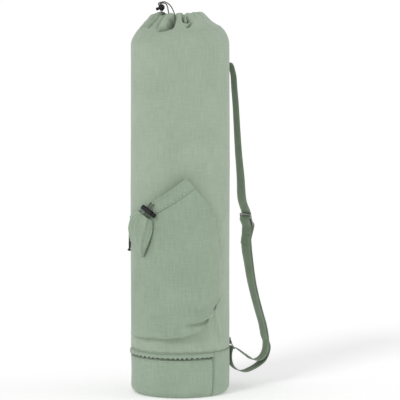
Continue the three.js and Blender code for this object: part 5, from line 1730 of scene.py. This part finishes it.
def make_stitches():
    """Every row of stitching: the base seam, the zip's edges, the panels' side seams, the hem and the pocket.
    """
    flush = TUBE_RADIUS + 0.0001
    zip_turns = (ZIP_START_TURN + 1, ZIP_END_TURN - 1)
    back_turns = (ZIP_END_TURN + 1, ZIP_START_TURN + 359)
    rounds = (
        ("seam_stitches", flush, SEAM_HEIGHT + SEAM_ALLOWANCE, -180, 180, "body_cloth"),
        ("flap_stitches", TUBE_RADIUS + 0.0005, FLAP_LOW + 0.0021, *zip_turns, "lower_cloth"),
        ("front_panel_stitches", flush, FRONT_TOP - 0.003, *zip_turns, "lower_cloth"),
        ("back_panel_stitches", flush, SEAM_HEIGHT - SEAM_ALLOWANCE, *back_turns, "lower_cloth"),
    )
    for name, reach, height, first, last, slot in rounds:
        turns = np.linspace(first, last, 400)
        stitches(name, on_tube(turns, reach, height), on_tube(turns, 1, 0), slot)
    heights = np.linspace(BASE_ROUND, FRONT_TOP - 0.004, 60)
    sides = (
        ("right_seam_stitches", ZIP_END_TURN + SEAM_ASIDE),
        ("left_seam_stitches", ZIP_START_TURN - SEAM_ASIDE),
    )
    for name, turn in sides:
        turns = np.full(60, turn)
        stitches(name, on_tube(turns, flush, heights), on_tube(turns, 1, 0 * heights), "lower_cloth")
    across = np.linspace(0.03, 0.97, 200)
    start = hem_start(across)
    hem_line = surface_line(across, start + (1 - start) * HEM_SEAM_SHARE, HEM_THICKNESS - 0.0005)
    stitches("hem_stitches", *hem_line, "pocket_cloth")
    side_line = surface_line(np.full(200, 0.985), np.linspace(0.03, 0.9, 200) * 0.93, CLOTH_WALL)
    stitches("pocket_side_stitches", *side_line, "pocket_cloth")


# Far soft lights: where from as a turn and an elevation, their softness in degrees and strength
LIGHTS = (
    ("key_light", -32, 38, 14, 0.85),
    ("left_light", -90, 20, 50, 0.14),
    ("right_light", 84, 10, 40, 0.72),
)
WORLD_STRENGTH = 0.65
FLOOR_GLOW = 0.2
FLOOR_SIZE = 45
FLOOR_TONE = 0.95


def make_stage():
    """A plain pale floor, a pale world and three far soft lights."""
    mesh = bpy.data.meshes.new("floor")
    size = FLOOR_SIZE
    corners = [(-size, -size, 0), (size, -size, 0), (size, size, 0), (-size, size, 0)]
    mesh.from_pydata(corners, [], [(0, 1, 2, 3)])
    floor = link(bpy.data.objects.new("floor", mesh))
    floor.location.z = -0.0004
    material, tree, shader = new_material("floor", 0.9, specular=0.1)
    place = add_node(tree, "TexCoord").outputs["Object"]
    tone = ranged(tree, noise(tree, place, 0.4, 2), 0.2, 0.8, 0.985, 1.0)
    floor_colour = (FLOOR_TONE, FLOOR_TONE, FLOOR_TONE, 1)
    tree.links.new(tinted(tree, floor_colour, tone), shader.inputs["Base Color"])
    shader.inputs["Emission Color"].default_value = (1, 1, 1, 1)
    shader.inputs["Emission Strength"].default_value = FLOOR_GLOW
    mesh.materials.append(material)
    world = bpy.data.worlds.new("world")
    world.use_nodes = True
    world.node_tree.nodes["Background"].inputs["Color"].default_value = (1, 1, 1, 1)
    world.node_tree.nodes["Background"].inputs["Strength"].default_value = WORLD_STRENGTH
    bpy.context.scene.world = world
    bpy.context.scene.view_settings.view_transform = "Standard"
    for name, turn, rise, softness, strength in LIGHTS:
        data = bpy.data.lights.new(name, "SUN")
        data.angle = math.radians(softness)
        data.energy = strength
        light = link(bpy.data.objects.new(name, data))
        towards = Vector(on_tube(turn, math.cos(math.radians(rise)), math.sin(math.radians(rise))))
        light.rotation_euler = (-towards).to_track_quat("-Z", "Y").to_euler()


make_camera()
make_cords()
make_locks()
make_body()
make_base()
make_zip_teeth()
make_zip_slider()
make_pocket()
make_gather()
make_strap()
make_hardware()
make_stitches()
make_stage()
